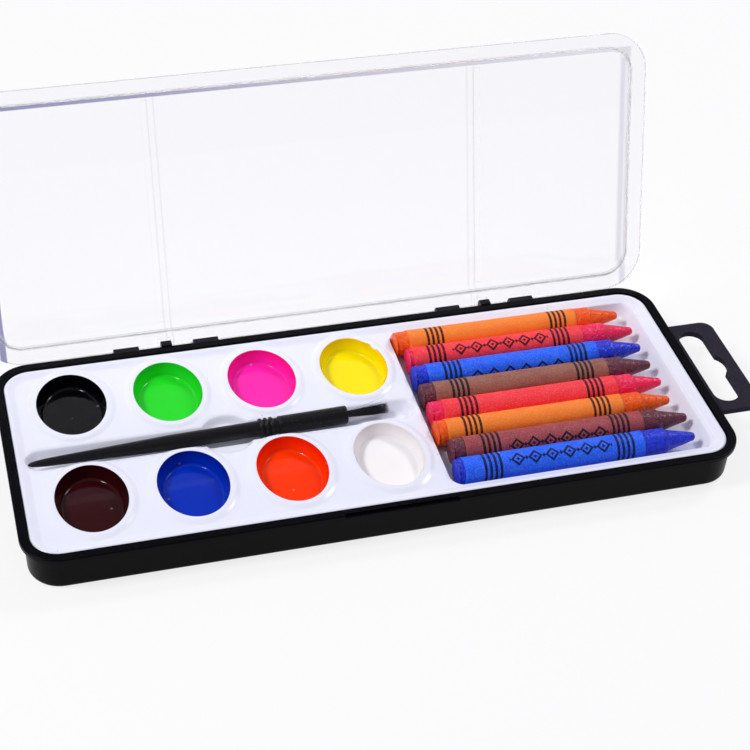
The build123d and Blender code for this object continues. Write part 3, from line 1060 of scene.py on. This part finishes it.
    def build(self, material: bpy.types.Material) -> bpy.types.Object:
        """Triangulates the drawing, lifts it to its heights and gives the sheet its wall.

        Args:
            material: the tray's finish.

        Returns:
            The tray.
        """
        plan, level, edges = self.drawing()
        result = delaunay_2d_cdt([Vector(p) for p in plan.tolist()], edges.tolist(), [], 1, 1e-5)
        spots = np.array([tuple(v) for v in result[0]])
        source = np.array([ids[0] if ids else -1 for ids in result[3]])
        given = np.where(source >= 0, level[source], np.nan)
        points = np.column_stack([spots, self.surface(spots, given)])
        piece = make_mesh("tray_sheet", points, np.array(result[2]))
        solid = piece.modifiers.new("wall", "SOLIDIFY")
        solid.thickness = self.wall * MM
        solid.offset = -1.0
        piece.data.materials.append(material)
        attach(piece, "case")
        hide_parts("insert_tray")
        LOG.info("built tray_sheet with %d points", len(spots))
        return piece

    def floor_of_box(self, spots: np.ndarray) -> np.ndarray:
        """Whether each spot lies on the crayon box's floor."""
        low, high = np.array(self.box_low), np.array(self.box_high)
        return ((spots > low) & (spots < high)).all(1)

    def sparse_grid(self, lines: np.ndarray) -> np.ndarray:
        """Spots of a staggered grid over the tray that keep clear of the rings' points.

        Args:
            lines: one row of x, y for each point of the rings.

        Returns:
            One row of x, y for each spot.
        """
        step = self.mesh_step
        x = np.arange(-self.half[0], self.half[0], step)
        y = np.arange(-self.half[1], self.half[1], step * 0.87)
        grid_x, grid_y = np.meshgrid(x, y)
        grid_x = grid_x + (np.arange(len(y)) % 2)[:, None] * step / 2
        grid = np.stack([grid_x.ravel(), grid_y.ravel()], 1)
        keep = (np.abs(grid) < self.half - self.border_foot - 0.3).all(1)
        grid = grid[keep]
        clear = np.ones(len(grid), bool)
        for start in range(0, len(lines), 2000):
            part = lines[start : start + 2000]
            away = grid[:, None] - part[None]
            gap = np.hypot(away[..., 0], away[..., 1])
            clear &= gap.min(1) > step * 0.45
        return grid[clear]


PAINTS = {
    "black": (shade(3, 3, 6), shade(2, 2, 4)),
    "green": (shade(34, 220, 38), shade(26, 200, 34)),
    "pink": (shade(255, 36, 178), shade(250, 20, 140)),
    "yellow": (shade(252, 232, 4), shade(246, 206, 0)),
    "brown": (shade(50, 6, 8), shade(40, 4, 7)),
    "blue": (shade(2, 48, 182), shade(0, 34, 150)),
    "orange": (shade(255, 58, 0), shade(244, 34, 0)),
    "white": (shade(250, 246, 245), shade(238, 230, 230)),
}


FIRST_PAINT_SEED = 30
YELLOW_NOTCH = 0.28


@dataclass
class Paint:
    """A dished cake of paint in one well, as a closed form turned round its oval.

    Args:
        name: the paint's name.
        seed: which uneven wave its rim follows.
        notch: how far the rim steps at the back right, in millimetres.
        notch_turns: where the step juts out and where it draws back, in radians.
        notch_widths: how far each of the two spreads, in square radians.
    """

    name: str
    seed: int
    notch: float = 0.0
    notch_turns: tuple = (0.95, 0.6)
    notch_widths: tuple = (0.02, 0.012)
    film: float = 0.05
    overlap: float = 0.12
    floor_over: float = 1.15
    foot_radius: float = 0.9
    foot_inset: float = 1.0
    uneven: float = 0.04
    sag: float = 0.02
    around: int = 160

    def profile(self, low: float, high: float) -> np.ndarray:
        """Rings as (growth of the oval's half sizes, height), outside first, then the dish.

        A thin film follows the well's round rim, growth = r - (r + film) sin(a) and
        height = high - r + (r + film) cos(a). Below it come a straight slanted wall and a
        quarter circle into the floor, which sags by a hair towards its middle.

        Args:
            low: height of the cake's underside.
            high: height of the well's rim.

        Returns:
            One row of growth and height for each ring.
        """
        floor = low + self.floor_over
        rim = Tray.rim_radius
        lip = np.linspace(math.asin((rim - self.overlap) / (rim + self.film)), math.pi / 2, 8)
        reach = rim + self.film
        lip_rings = np.stack([rim - reach * np.sin(lip), high - rim + reach * np.cos(lip)], 1)
        turn = np.linspace(0, math.pi / 2, 12)
        foot = np.stack(
            [
                -self.foot_inset - self.foot_radius * (1 - np.cos(turn)) * 0.9,
                floor + self.foot_radius * (1 - np.sin(turn)),
            ],
            1,
        )
        share = np.linspace(0.12, 0.9, 6)[:, None]
        wall = lip_rings[-1] * (1 - share) + foot[0] * share
        hidden = [[-0.76, low], [-0.4, (low + high) / 2], [0.05, high - rim]]
        return np.concatenate([hidden, lip_rings, wall, foot])

    def step(self, turn: np.ndarray) -> np.ndarray:
        """The small step in the rim: a bell-shaped bump out and a lower one back.

        Args:
            turn: turn round the well at each point, in radians.

        Returns:
            The step at each point.
        """
        away = [(turn - at + math.pi) % TURN - math.pi for at in self.notch_turns]
        out, back = (np.exp(-(gap**2) / width) for gap, width in zip(away, self.notch_widths))
        return out - 0.8 * back

    def build(self) -> bpy.types.Object:
        """Turns the profile round the oval and closes it above and below.

        Returns:
            The cake of paint.
        """
        low, high = node_box("paint_" + self.name)
        middle = (low + high) / 2
        half = np.array(Tray.well_half)
        high[2] = Tray.deck + Tray.halo_height
        turn = np.linspace(0, TURN, self.around, endpoint=False)
        profile = self.profile(low[2], high[2])
        inner = profile[-1]
        sink = np.linspace(0, 1, 9)[1:-1]
        grow = np.concatenate([profile[:, 0], np.full(len(sink), inner[0])])
        level = np.concatenate([profile[:, 1], np.full(len(sink), inner[1])])
        scale = np.concatenate([np.ones(len(profile)), 1 - sink])
        uneven = wave(turn, self.seed)[None, :]
        rim = np.clip((level - low[2]) / (high[2] - low[2]), 0, 1)[:, None] ** 6
        inward = self.uneven * uneven * rim - self.notch * self.step(turn)[None, :] * rim
        x = (half[0] + grow[:, None] + inward) * scale[:, None] * np.cos(turn)
        y = (half[1] + grow[:, None] + inward) * scale[:, None] * np.sin(turn)
        z = level[:, None] + self.sag * uneven * rim - self.sag * (1 - scale[:, None])
        rings = np.stack([middle[0] + x, middle[1] + y, z + 0 * x], -1).reshape(-1, 3)
        under, over = [*middle[:2], low[2]], [*middle[:2], inner[1] - self.sag]
        faces = tube_faces(len(grow), self.around).tolist()
        faces += fan_faces(0, self.around, len(rings), flip=True)
        faces += fan_faces((len(grow) - 1) * self.around, self.around, len(rings) + 1)
        points = np.concatenate([rings, [under, over]])
        piece = make_mesh("paint_cake_" + self.name, points, faces)
        floor, wall = PAINTS[self.name]
        finish = PaintFinish(floor, wall, self.name, low[2] + self.floor_over, high[2])
        piece.data.materials.append(finish.material())
        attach(piece, "case")
        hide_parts("paint_" + self.name)
        LOG.info("built paint_cake_%s", self.name)
        return piece


class Hue(Enum):
    """The crayons' colours: wax, dull wax, paper and worn paper for each."""

    ORANGE = (shade(255, 100, 2), shade(250, 70, 0), shade(255, 136, 34), shade(255, 120, 24))
    RED = (shade(255, 34, 96), shade(244, 18, 66), shade(255, 56, 66), shade(255, 40, 52))
    BLUE = (shade(28, 58, 226), shade(12, 28, 168), shade(12, 104, 255), shade(8, 78, 240))
    BROWN = (shade(112, 52, 66), shade(78, 32, 48), shade(158, 98, 80), shade(134, 78, 64))
    DARK_BROWN = (shade(112, 52, 66), shade(78, 32, 48), shade(166, 70, 74), shade(140, 56, 62))


@dataclass
class Crayon:
    """A wax stick with a stepped, blunt nose in a paper wrapper.

    Args:
        name: the crayon's name in the part.
        hue: its colours.
        bands: where its two groups of bands start, in millimetres from the wrapper's left end.
        ornament: what is printed between them.
        turn: how far the print is turned from the top towards the front, in degrees.
        seed: which uneven waves it follows.
    """

    name: str
    hue: Hue
    bands: tuple
    ornament: Ornament
    turn: float
    seed: int
    around: int = 72
    nose: float = 8.6
    nose_root: float = 2.95
    nose_tip: float = 1.2
    end_round: float = 0.55
    tip_round: float = 1.0
    wax_rough: float = 0.03
    wax_slack: float = 0.01
    rows: int = 84
    paper: float = 0.17
    tuck: float = 0.06
    edge_wave: float = 0.07
    ripples: tuple = (0.02, 0.015)
    flare: float = 0.05
    lap: float = 0.07

    def wax_profile(self, length: float, radius: float) -> np.ndarray:
        """Rings of the stick: a rounded end, the body, the step, the nose and its round tip.

        Args:
            length: length of the whole stick.
            radius: radius of its body.

        Returns:
            One row of distance along and radius for each ring.
        """
        turn = np.linspace(0, math.pi / 2, 7)[1:]
        end_x = self.end_round * (1 - np.sin(turn))
        end = np.stack([end_x, radius - self.end_round * (1 - np.cos(turn))], 1)
        nose, root = length - self.nose, self.nose_root
        body_x = np.linspace(1.0, nose - 0.7, 70)
        body = np.stack([body_x, np.full(len(body_x), radius)], 1)
        step = [
            [nose - 0.45, radius - 0.03],
            [nose - 0.25, radius - 0.1],
            [nose - 0.05, radius - 0.25],
            [nose + 0.15, root + 0.1],
            [nose + 0.4, root],
        ]
        cone_x = np.linspace(nose + 0.75, length - self.tip_round, 18)
        share = (cone_x - nose) / (self.nose - self.tip_round)
        cone = np.stack([cone_x, root + (self.nose_tip - root) * share], 1)
        turn = np.linspace(0.15, math.pi / 2 - 0.05, 8)
        tip_x = length + self.tip_round * (np.sin(turn) - 1)
        tip = np.stack([tip_x, self.nose_tip + self.tip_round * (np.cos(turn) - 1)], 1)
        return np.concatenate([[[0.0, radius - 0.6]], end, body, step, cone, tip])

    def revolve(self, profile: np.ndarray, start: np.ndarray) -> np.ndarray:
        """Turns rings round the crayon's line, with a low product of sines as unevenness.

        Args:
            profile: one row of distance along and radius for each ring.
            start: the left end of the line.

        Returns:
            One row of x, y, z for each point, ring by ring.
        """
        turn = np.linspace(0, TURN, self.around, endpoint=False)
        along = profile[:, 0][:, None]
        uneven = np.sin(along * 0.9 + self.seed) * np.sin(2 * turn + along * 0.23 + self.seed)
        radius = profile[:, 1][:, None] + self.wax_rough * uneven
        x = start[0] + along + 0 * turn
        y = start[1] - radius * np.sin(turn)
        z = start[2] + radius * np.cos(turn)
        return np.stack([x, y, z], -1).reshape(-1, 3)

    def wax(self) -> bpy.types.Object:
        """Builds the wax stick.

        Returns:
            The stick.
        """
        low, high = node_box("crayon_wax_" + self.name)
        middle = (low + high) / 2
        profile = self.wax_profile(high[0] - low[0], (high[2] - low[2]) / 2 - self.wax_slack)
        start = np.array([low[0], middle[1], middle[2]])
        tip = np.array([high[0], middle[1], middle[2]])
        rings = self.revolve(profile, start)
        count = len(rings)
        faces = tube_faces(len(profile), self.around)[:, ::-1].tolist()
        faces += fan_faces(0, self.around, count)
        faces += fan_faces(count - self.around, self.around, count + 1, flip=True)
        points = np.concatenate([rings, [start, tip]])
        piece = make_mesh("wax_stick_" + self.name, points, faces)
        body, deep = self.hue.value[:2]
        piece.data.materials.append(WaxFinish(self.name, body, deep).material())
        self.place(piece, "crayon_wax_", "wax_" + self.name.split("_")[0])
        return piece

    def skin(self, along: np.ndarray, turn: np.ndarray, length: float) -> tuple:
        """How far the paper leaves a plain cylinder.

        Two low ripples run round it, it flares at both ends, steps where it laps over itself and
        its ends are a little wavy.

        Args:
            along: distance from the left end of each row.
            turn: turn round the crayon of each column.
            length: length of the paper.

        Returns:
            The shift along, the ripples, and the flare with the lap, at each point.
        """
        draw = np.random.default_rng(self.seed)
        share = (along / length)[:, None]
        left, right = (self.edge_wave * wave(turn, self.seed + more) for more in (10, 20))
        wavy = left * (1 - share) ** 6 + right * share**6
        coarse, fine = self.ripples
        ripple = coarse * np.sin(along[:, None] * 1.3 + 3 * turn + draw.uniform(0, TURN))
        ripple = ripple + fine * np.sin(along[:, None] * 0.45 - 2 * turn + draw.uniform(0, TURN))
        flare = self.flare * (np.exp(-along / 0.5) + np.exp((along - length) / 0.5))
        lap = self.lap * np.clip(1 - (turn / TURN) * 9, 0, 1)
        return wavy, ripple, flare[:, None] + lap

    def wrapper(self) -> bpy.types.Object:
        """Builds the paper: an outer and an inner skin joined at both ends.

        Returns:
            The wrapper.
        """
        low, high = node_box("crayon_wrapper_" + self.name)
        middle = (low + high) / 2
        outer = (high[2] - low[2]) / 2
        inner = outer - self.paper
        along = np.linspace(0, high[0] - low[0], self.rows)
        turn = np.linspace(0, TURN, self.around + 1)
        lean = turn + math.radians(self.turn) + math.pi
        wavy, ripple, swell = self.skin(along, turn, high[0] - low[0])
        skins = []
        for radius in (outer - self.tuck, inner):
            reach = radius + ripple * 0.7 + swell * (radius > inner) * 0.5
            x = low[0] + along[:, None] + wavy
            y = middle[1] - reach * np.sin(lean)
            z = middle[2] + reach * np.cos(lean)
            skins.append(np.stack([x, y, z], -1))
        sheet = np.concatenate([skins[0], skins[1][::-1], skins[0][:1]])
        u = np.concatenate([along, along[::-1], along[:1]])[:, None] / 100 + 0 * turn
        return self.sheet_piece(sheet, u, turn / TURN + 0 * u)

    def sheet_piece(self, sheet: np.ndarray, u: np.ndarray, v: np.ndarray) -> bpy.types.Object:
        """Makes the wrapper of a grid of points whose last row and column repeat the first.

        Args:
            sheet: the points, with a row for each ring and a column for each turn.
            u: the map's first coordinate at each point.
            v: the map's second coordinate at each point.

        Returns:
            The wrapper.
        """
        count, across = sheet.shape[:2]
        ring, step = np.meshgrid(np.arange(count - 1), np.arange(across - 1), indexing="ij")
        here = (ring * across + step).ravel()
        corners = np.stack([here, here + across, here + across + 1, here + 1], 1)
        uv = np.stack([u.ravel(), v.ravel()], 1)[corners].reshape(-1, 2)
        row, column = np.divmod(np.arange(count * across), across)
        number = row % (count - 1) * (across - 1) + column % (across - 1)
        points = sheet[:-1, :-1].reshape(-1, 3)
        piece = make_mesh("paper_wrapper_" + self.name, points, number[corners], uv)
        paper, worn = self.hue.value[2:]
        finish = WrapperFinish(self.name, paper, worn, self.bands, self.ornament)
        piece.data.materials.append(finish.material())
        colour = self.name.split("_")[0]
        slot = "wrapper_" + (self.name if colour == "brown" else colour)
        self.place(piece, "crayon_wrapper_", slot)
        return piece

    def place(self, piece: bpy.types.Object, node: str, slot: str) -> None:
        """Says which body a piece belongs to and hides the node that it stands for.

        Args:
            piece: the piece.
            node: start of the name of the node that it stands for.
            slot: not used.
        """
        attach(piece, "crayon_" + self.name)
        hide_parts(node + self.name)
        LOG.info("built %s", piece.name)

    def build(self) -> None:
        """Builds the wax and its wrapper."""
        self.wax()
        self.wrapper()


@dataclass(frozen=True)
class Axes:
    """The brush's line: the ferrule's mouth and the directions along, across and up."""

    mouth: np.ndarray
    along: np.ndarray
    across: np.ndarray
    up: np.ndarray

    def circle(self, count: int) -> np.ndarray:
        """Points of a circle of radius 1 square to the line, seen from its middle."""
        turn = np.linspace(0, TURN, count, endpoint=False)
        return np.cos(turn)[:, None] * self.across + np.sin(turn)[:, None] * self.up


@dataclass
class Brush:
    """The brush: its ferrule dressed, its handle turned and its hair made strand by strand.

    All sizes are in millimetres. The handle's places count from its point, the rings' from the
    ferrule, and a long stray is how far its tip lies from the line and its turn in radians.
    """

    slant: float = 1.4
    ferrule_length: float = 18.6
    handle_places: tuple = (0.0, 0.15, 0.5, 1.0, 2.2, 4.6, 10.0, 17.7, 26.0, 36.0)
    handle_radii: tuple = (0.05, 0.3, 0.5, 0.64, 0.84, 1.04, 1.24, 1.44, 1.7, 2.0)
    handle_radius: float = 2.05
    handle_around: int = 48
    ring_places: tuple = (1.8, 3.25, 4.65)
    ring_half_width: float = 0.52
    ring_rise: float = 0.52
    tenon_radius: float = 1.5
    tenon_length: float = 6.0
    hair_length: float = 11.4
    hair_sink: float = 0.4
    ragged: float = 1.2
    root_radius: float = 0.78
    tip_radius: float = 1.42
    strands: int = 380
    stray_every: int = 41
    long_strays: tuple = ((3.3, 0.8), (2.3, 3.4))
    rings: int = 8
    sides: int = 4
    thickness: float = 0.05
    plug_ends: tuple = (3.0, 0.35)
    plug_over: float = 0.06
    plug_around: int = 32

    def axes(self) -> Axes:
        """The brush's line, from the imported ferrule's middle and the brush's slant.

        Returns:
            The line.
        """
        low, high = node_box("brush_ferrule")
        lean = math.radians(self.slant)
        along = np.array([math.cos(lean), math.sin(lean), 0.0])
        across = np.array([-math.sin(lean), math.cos(lean), 0.0])
        mouth = (low + high) / 2 + along * self.ferrule_length / 2
        return Axes(mouth, along, across, np.array([0.0, 0.0, 1.0]))

    def handle_profile(self, length: float) -> tuple[np.ndarray, np.ndarray]:
        """The handle's outline: straight between the given places, with rings and a tenon.

        Each ring adds half an ellipse to the radius.

        Args:
            length: length of the handle up to the ferrule.

        Returns:
            Distance from the point and radius of each ring of points.
        """
        zones = ((0, 5, 40), (5.2, length - 6.2, 160), (length - 6.1, length, 150))
        s = np.concatenate([np.linspace(*zone) for zone in zones])
        places, radii = (*self.handle_places, length), (*self.handle_radii, self.handle_radius)
        radius = np.interp(s, places, radii)
        for back in self.ring_places:
            away = np.minimum(np.abs(s - (length - back)) / self.ring_half_width, 1)
            radius = radius + self.ring_rise * np.sqrt(1 - away**2)
        s = np.concatenate([s, [length, length + self.tenon_length]])
        return s, np.concatenate([radius, [self.tenon_radius, self.tenon_radius]])

    def handle(self) -> bpy.types.Object:
        """Turns the handle's outline round the brush's line.

        Returns:
            The handle.
        """
        axes = self.axes()
        joint = axes.mouth - axes.along * self.ferrule_length
        low, _ = node_box("brush_handle")
        length = float((joint - low)[0] / axes.along[0])
        s, radius = self.handle_profile(length)
        around = self.handle_around
        rim = axes.circle(around)
        points = joint + (s - length)[:, None, None] * axes.along + radius[:, None, None] * rim
        last = (len(s) - 1) * around
        ends = [list(range(around))[::-1], list(range(last, last + around))]
        faces = tube_faces(len(s), around).tolist() + ends
        piece = make_mesh("turned_handle", points.reshape(-1, 3), faces)
        piece.data.materials.append(BrushPlastic("brush_handle_plastic", 0.1, 0.04).material())
        self.place(piece, "brush_handle")
        return piece

    def hair(self) -> bpy.types.Object:
        """Builds the hair: each strand bends from its root to its place in the fan.

        A strand's line is root + fan * share^1.3 along its length, plus a small sideways bow, and
        its radius shrinks by a square towards the tip.

        Returns:
            The hair.
        """
        draw = np.random.default_rng(7)
        count = self.strands
        number = np.arange(count)
        share = np.sqrt((number + 0.5) / count)
        heading = number * math.pi * (3 - math.sqrt(5))
        reach = self.hair_length + self.hair_sink - draw.uniform(0, self.ragged, count) ** 1.6
        root = self.root_radius * share
        fan = self.tip_radius * share + draw.normal(0, 0.07, count)
        strays = number % self.stray_every == 5
        fan = fan + strays * draw.uniform(0.4, 1.3, count)
        for strand, (out, turn) in zip((-2, -1), self.long_strays):
            fan[strand], heading[strand] = out, turn
        t = np.linspace(0, 1, self.rings)
        spread = root[:, None] + (fan - root)[:, None] * t**1.3
        bow = draw.normal(0, 0.09, (count, 2))
        side = spread * np.cos(heading)[:, None] + bow[:, :1] * np.sin(math.pi * t)
        lift = spread * np.sin(heading)[:, None] * 0.94 + bow[:, 1:] * np.sin(math.pi * t)
        forward = -self.hair_sink + reach[:, None] * t
        points, faces = self.strand_mesh(forward, side, lift)
        piece = make_mesh("hair_bundle", points, faces)
        piece.data.materials.append(HairFinish().material())
        self.place(piece, "brush_bristles")
        return piece

    def strand_mesh(self, forward: np.ndarray, side: np.ndarray, lift: np.ndarray) -> tuple:
        """Carries a small square along every strand's line and adds the plug they stand in.

        Args:
            forward: distance from the ferrule's mouth, with a row for each strand.
            side: distance across.
            lift: distance up.

        Returns:
            The points and the faces.
        """
        axes = self.axes()
        line = (
            axes.mouth
            + forward[..., None] * axes.along
            + side[..., None] * axes.across
            + lift[..., None] * axes.up
        )
        count, rings = forward.shape
        thick = self.thickness * (1 - 0.75 * np.linspace(0, 1, rings) ** 2)
        strands = line[:, :, None, :] + thick[None, :, None, None] * axes.circle(self.sides)
        per = rings * self.sides
        caps = [list(range(self.sides))[::-1], list(range(per - self.sides, per))]
        one = np.concatenate([tube_faces(rings, self.sides), caps])
        faces = (one[None] + (np.arange(count) * per)[:, None, None]).reshape(-1, 4).tolist()
        total, around = count * per, self.plug_around
        ends = [axes.mouth - axes.along * back for back in self.plug_ends]
        rim = axes.circle(around) * (self.root_radius + self.plug_over)
        faces += tube_faces(2, around, total).tolist()
        faces += fan_faces(total, around, total + 2 * around, flip=True)
        faces += fan_faces(total + around, around, total + 2 * around + 1)
        rims = [end + rim for end in ends]
        return np.concatenate([strands.reshape(-1, 3), *rims, np.array(ends)]), faces

    def place(self, piece: bpy.types.Object, node: str) -> None:
        """Says which body a piece belongs to and hides the node that it stands for.

        Args:
            piece: the piece.
            node: name of the node that it stands for.
        """
        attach(piece, "brush")
        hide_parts(node)
        LOG.info("built %s", piece.name)

    def build(self) -> None:
        """Builds the handle and the hair and dresses the ferrule."""
        self.handle()
        dress("brush_ferrule", BrushPlastic("brush_ferrule_plastic", 0.3, 0.1).material())
        self.hair()


SEEN_BY = ("Camera", "Glossy", "Transmission")


@dataclass
class Studio:
    """The camera, the lamps, the pale floor and the white surroundings."""

    camera_place: tuple = (-0.1048, -0.3418, 0.3179)
    camera_right: tuple = (0.96385, -0.26247, 0.04584)
    camera_down: tuple = (-0.13317, -0.62357, -0.77034)
    focal_share: float = 1793.29 / 750
    world_light: float = 0.36
    world_colour: tuple = (0.84, 0.85, 1.0, 1.0)
    floor_glow: float = 0.8
    floor_half: float = 4.0
    lamp_size: float = 0.2
    lamps: tuple = (
        ("right_box", (0.66, 0.3, 0.74), 3.2),
        ("left_box", (-0.66, -0.04, 0.8), 5.6),
    )

    def camera(self) -> None:
        """Places the camera at the photograph's viewing angle."""
        data = bpy.data.cameras.new("camera")
        data.sensor_width = 36.0
        data.lens = 36.0 * self.focal_share
        data.clip_start = 0.01
        place = bpy.data.objects.new("camera", data)
        right = Vector(self.camera_right).normalized()
        up = (-Vector(self.camera_down)).normalized()
        back = right.cross(up)
        turned = Matrix((right, up, back)).transposed().to_4x4()
        place.matrix_world = Matrix.Translation(self.camera_place) @ turned
        bpy.context.scene.collection.objects.link(place)
        bpy.context.scene.camera = place

    def lamp(self, name: str, place: tuple, watts: float) -> None:
        """Adds a square soft lamp that faces the object.

        Args:
            name: name of the lamp.
            place: where it hangs, in metres.
            watts: its power.
        """
        data = bpy.data.lights.new(name, "AREA")
        data.size = self.lamp_size
        data.energy = watts
        lamp = bpy.data.objects.new(name, data)
        lamp.location = place
        lamp.rotation_euler = (-Vector(place)).to_track_quat("-Z", "Y").to_euler()
        bpy.context.scene.collection.objects.link(lamp)

    def world(self) -> None:
        """Soft even light, and white where the camera sees the surroundings, directly or through
        clear parts.
        """
        world = bpy.data.worlds.new("studio")
        bpy.context.scene.world = world
        world.use_nodes = True
        tree = world.node_tree
        shader = tree.nodes["Background"]
        shader.inputs["Color"].default_value = self.world_colour
        shader.inputs["Strength"].default_value = self.world_light
        white = tree.nodes.new("ShaderNodeBackground")
        white.inputs["Color"].default_value = (1.0, 1.0, 1.0, 1.0)
        path = tree.nodes.new("ShaderNodeLightPath")
        seen = tree.nodes.new("ShaderNodeMath")
        seen.operation = "MAXIMUM"
        tree.links.new(path.outputs["Is Camera Ray"], seen.inputs[0])
        tree.links.new(path.outputs["Is Transmission Ray"], seen.inputs[1])
        mix = tree.nodes.new("ShaderNodeMixShader")
        tree.links.new(seen.outputs[0], mix.inputs[0])
        tree.links.new(shader.outputs[0], mix.inputs[1])
        tree.links.new(white.outputs[0], mix.inputs[2])
        tree.links.new(mix.outputs[0], tree.nodes["World Output"].inputs["Surface"])

    def floor(self) -> None:
        """A pale floor that keeps the object's shadow."""
        half = self.floor_half / MM
        corners = [[-half, -half, 0], [half, -half, 0], [half, half, 0], [-half, half, 0]]
        floor = make_mesh("floor", np.array(corners), [[0, 1, 2, 3]])
        finish = Finish("pale_floor", Roughness=0.9, Specular_IOR_Level=0.1)
        grain = finish.noise(3.0)
        finish.send(Base_Color=finish.blend(grain, shade(246, 246, 248), shade(250, 250, 251)))
        glow = finish.tree.nodes.new("ShaderNodeEmission")
        path = finish.tree.nodes.new("ShaderNodeLightPath")
        rays = [Value(finish, path.outputs["Is " + ray + " Ray"]) for ray in SEEN_BY]
        seen = rays[0].sum("MAXIMUM", rays[1]).sum("MAXIMUM", rays[2])
        mix = finish.tree.nodes.new("ShaderNodeMixShader")
        finish.put(mix.inputs["Fac"], seen * self.floor_glow)
        finish.tree.links.new(finish.shader.outputs[0], mix.inputs[1])
        finish.tree.links.new(glow.outputs[0], mix.inputs[2])
        finish.tree.links.new(mix.outputs[0], finish.output.inputs["Surface"])
        floor.data.materials.append(finish.material)

    def build(self) -> None:
        """Sets up the whole studio."""
        self.camera()
        self.world()
        self.floor()
        for lamp in self.lamps:
            self.lamp(*lamp)
        bpy.context.scene.view_settings.view_transform = "Standard"


CRAYONS = (
    Crayon("orange_rear", Hue.ORANGE, (5.5, 41.4), Ornament.BARE, 0, 1),
    Crayon("red_rear", Hue.RED, (4.5, 40.3), Ornament.LOZENGES, 24, 2),
    Crayon("blue_rear", Hue.BLUE, (5.0, 41.0), Ornament.LOZENGES, 76, 3),
    Crayon("brown_rear", Hue.BROWN, (4.9, 40.2), Ornament.BARE, 0, 4),
    Crayon("red_front", Hue.RED, (4.9, 40.4), Ornament.BARE, 0, 5),
    Crayon("orange_front", Hue.ORANGE, (4.9, 40.7), Ornament.BARE, 0, 6),
    Crayon("brown_front", Hue.DARK_BROWN, (4.9, 40.4), Ornament.LOZENGES, 58, 7),
    Crayon("blue_front", Hue.BLUE, (5.5, 41.5), Ornament.LOZENGES, 28, 8),
)


def main() -> None:
    """Builds every sub-assembly and then the studio."""
    logging.basicConfig(level=logging.INFO, format="%(message)s")
    Studio().build()
    Case().build()
    Lid().build()
    Tray().build(WhitePlastic().material())
    for seed, name in enumerate(PAINTS, start=FIRST_PAINT_SEED):
        Paint(name, seed, YELLOW_NOTCH if name == "yellow" else 0.0).build()
    for crayon in CRAYONS:
        crayon.build()
    Brush().build()


if __name__ == "__main__":
    main()
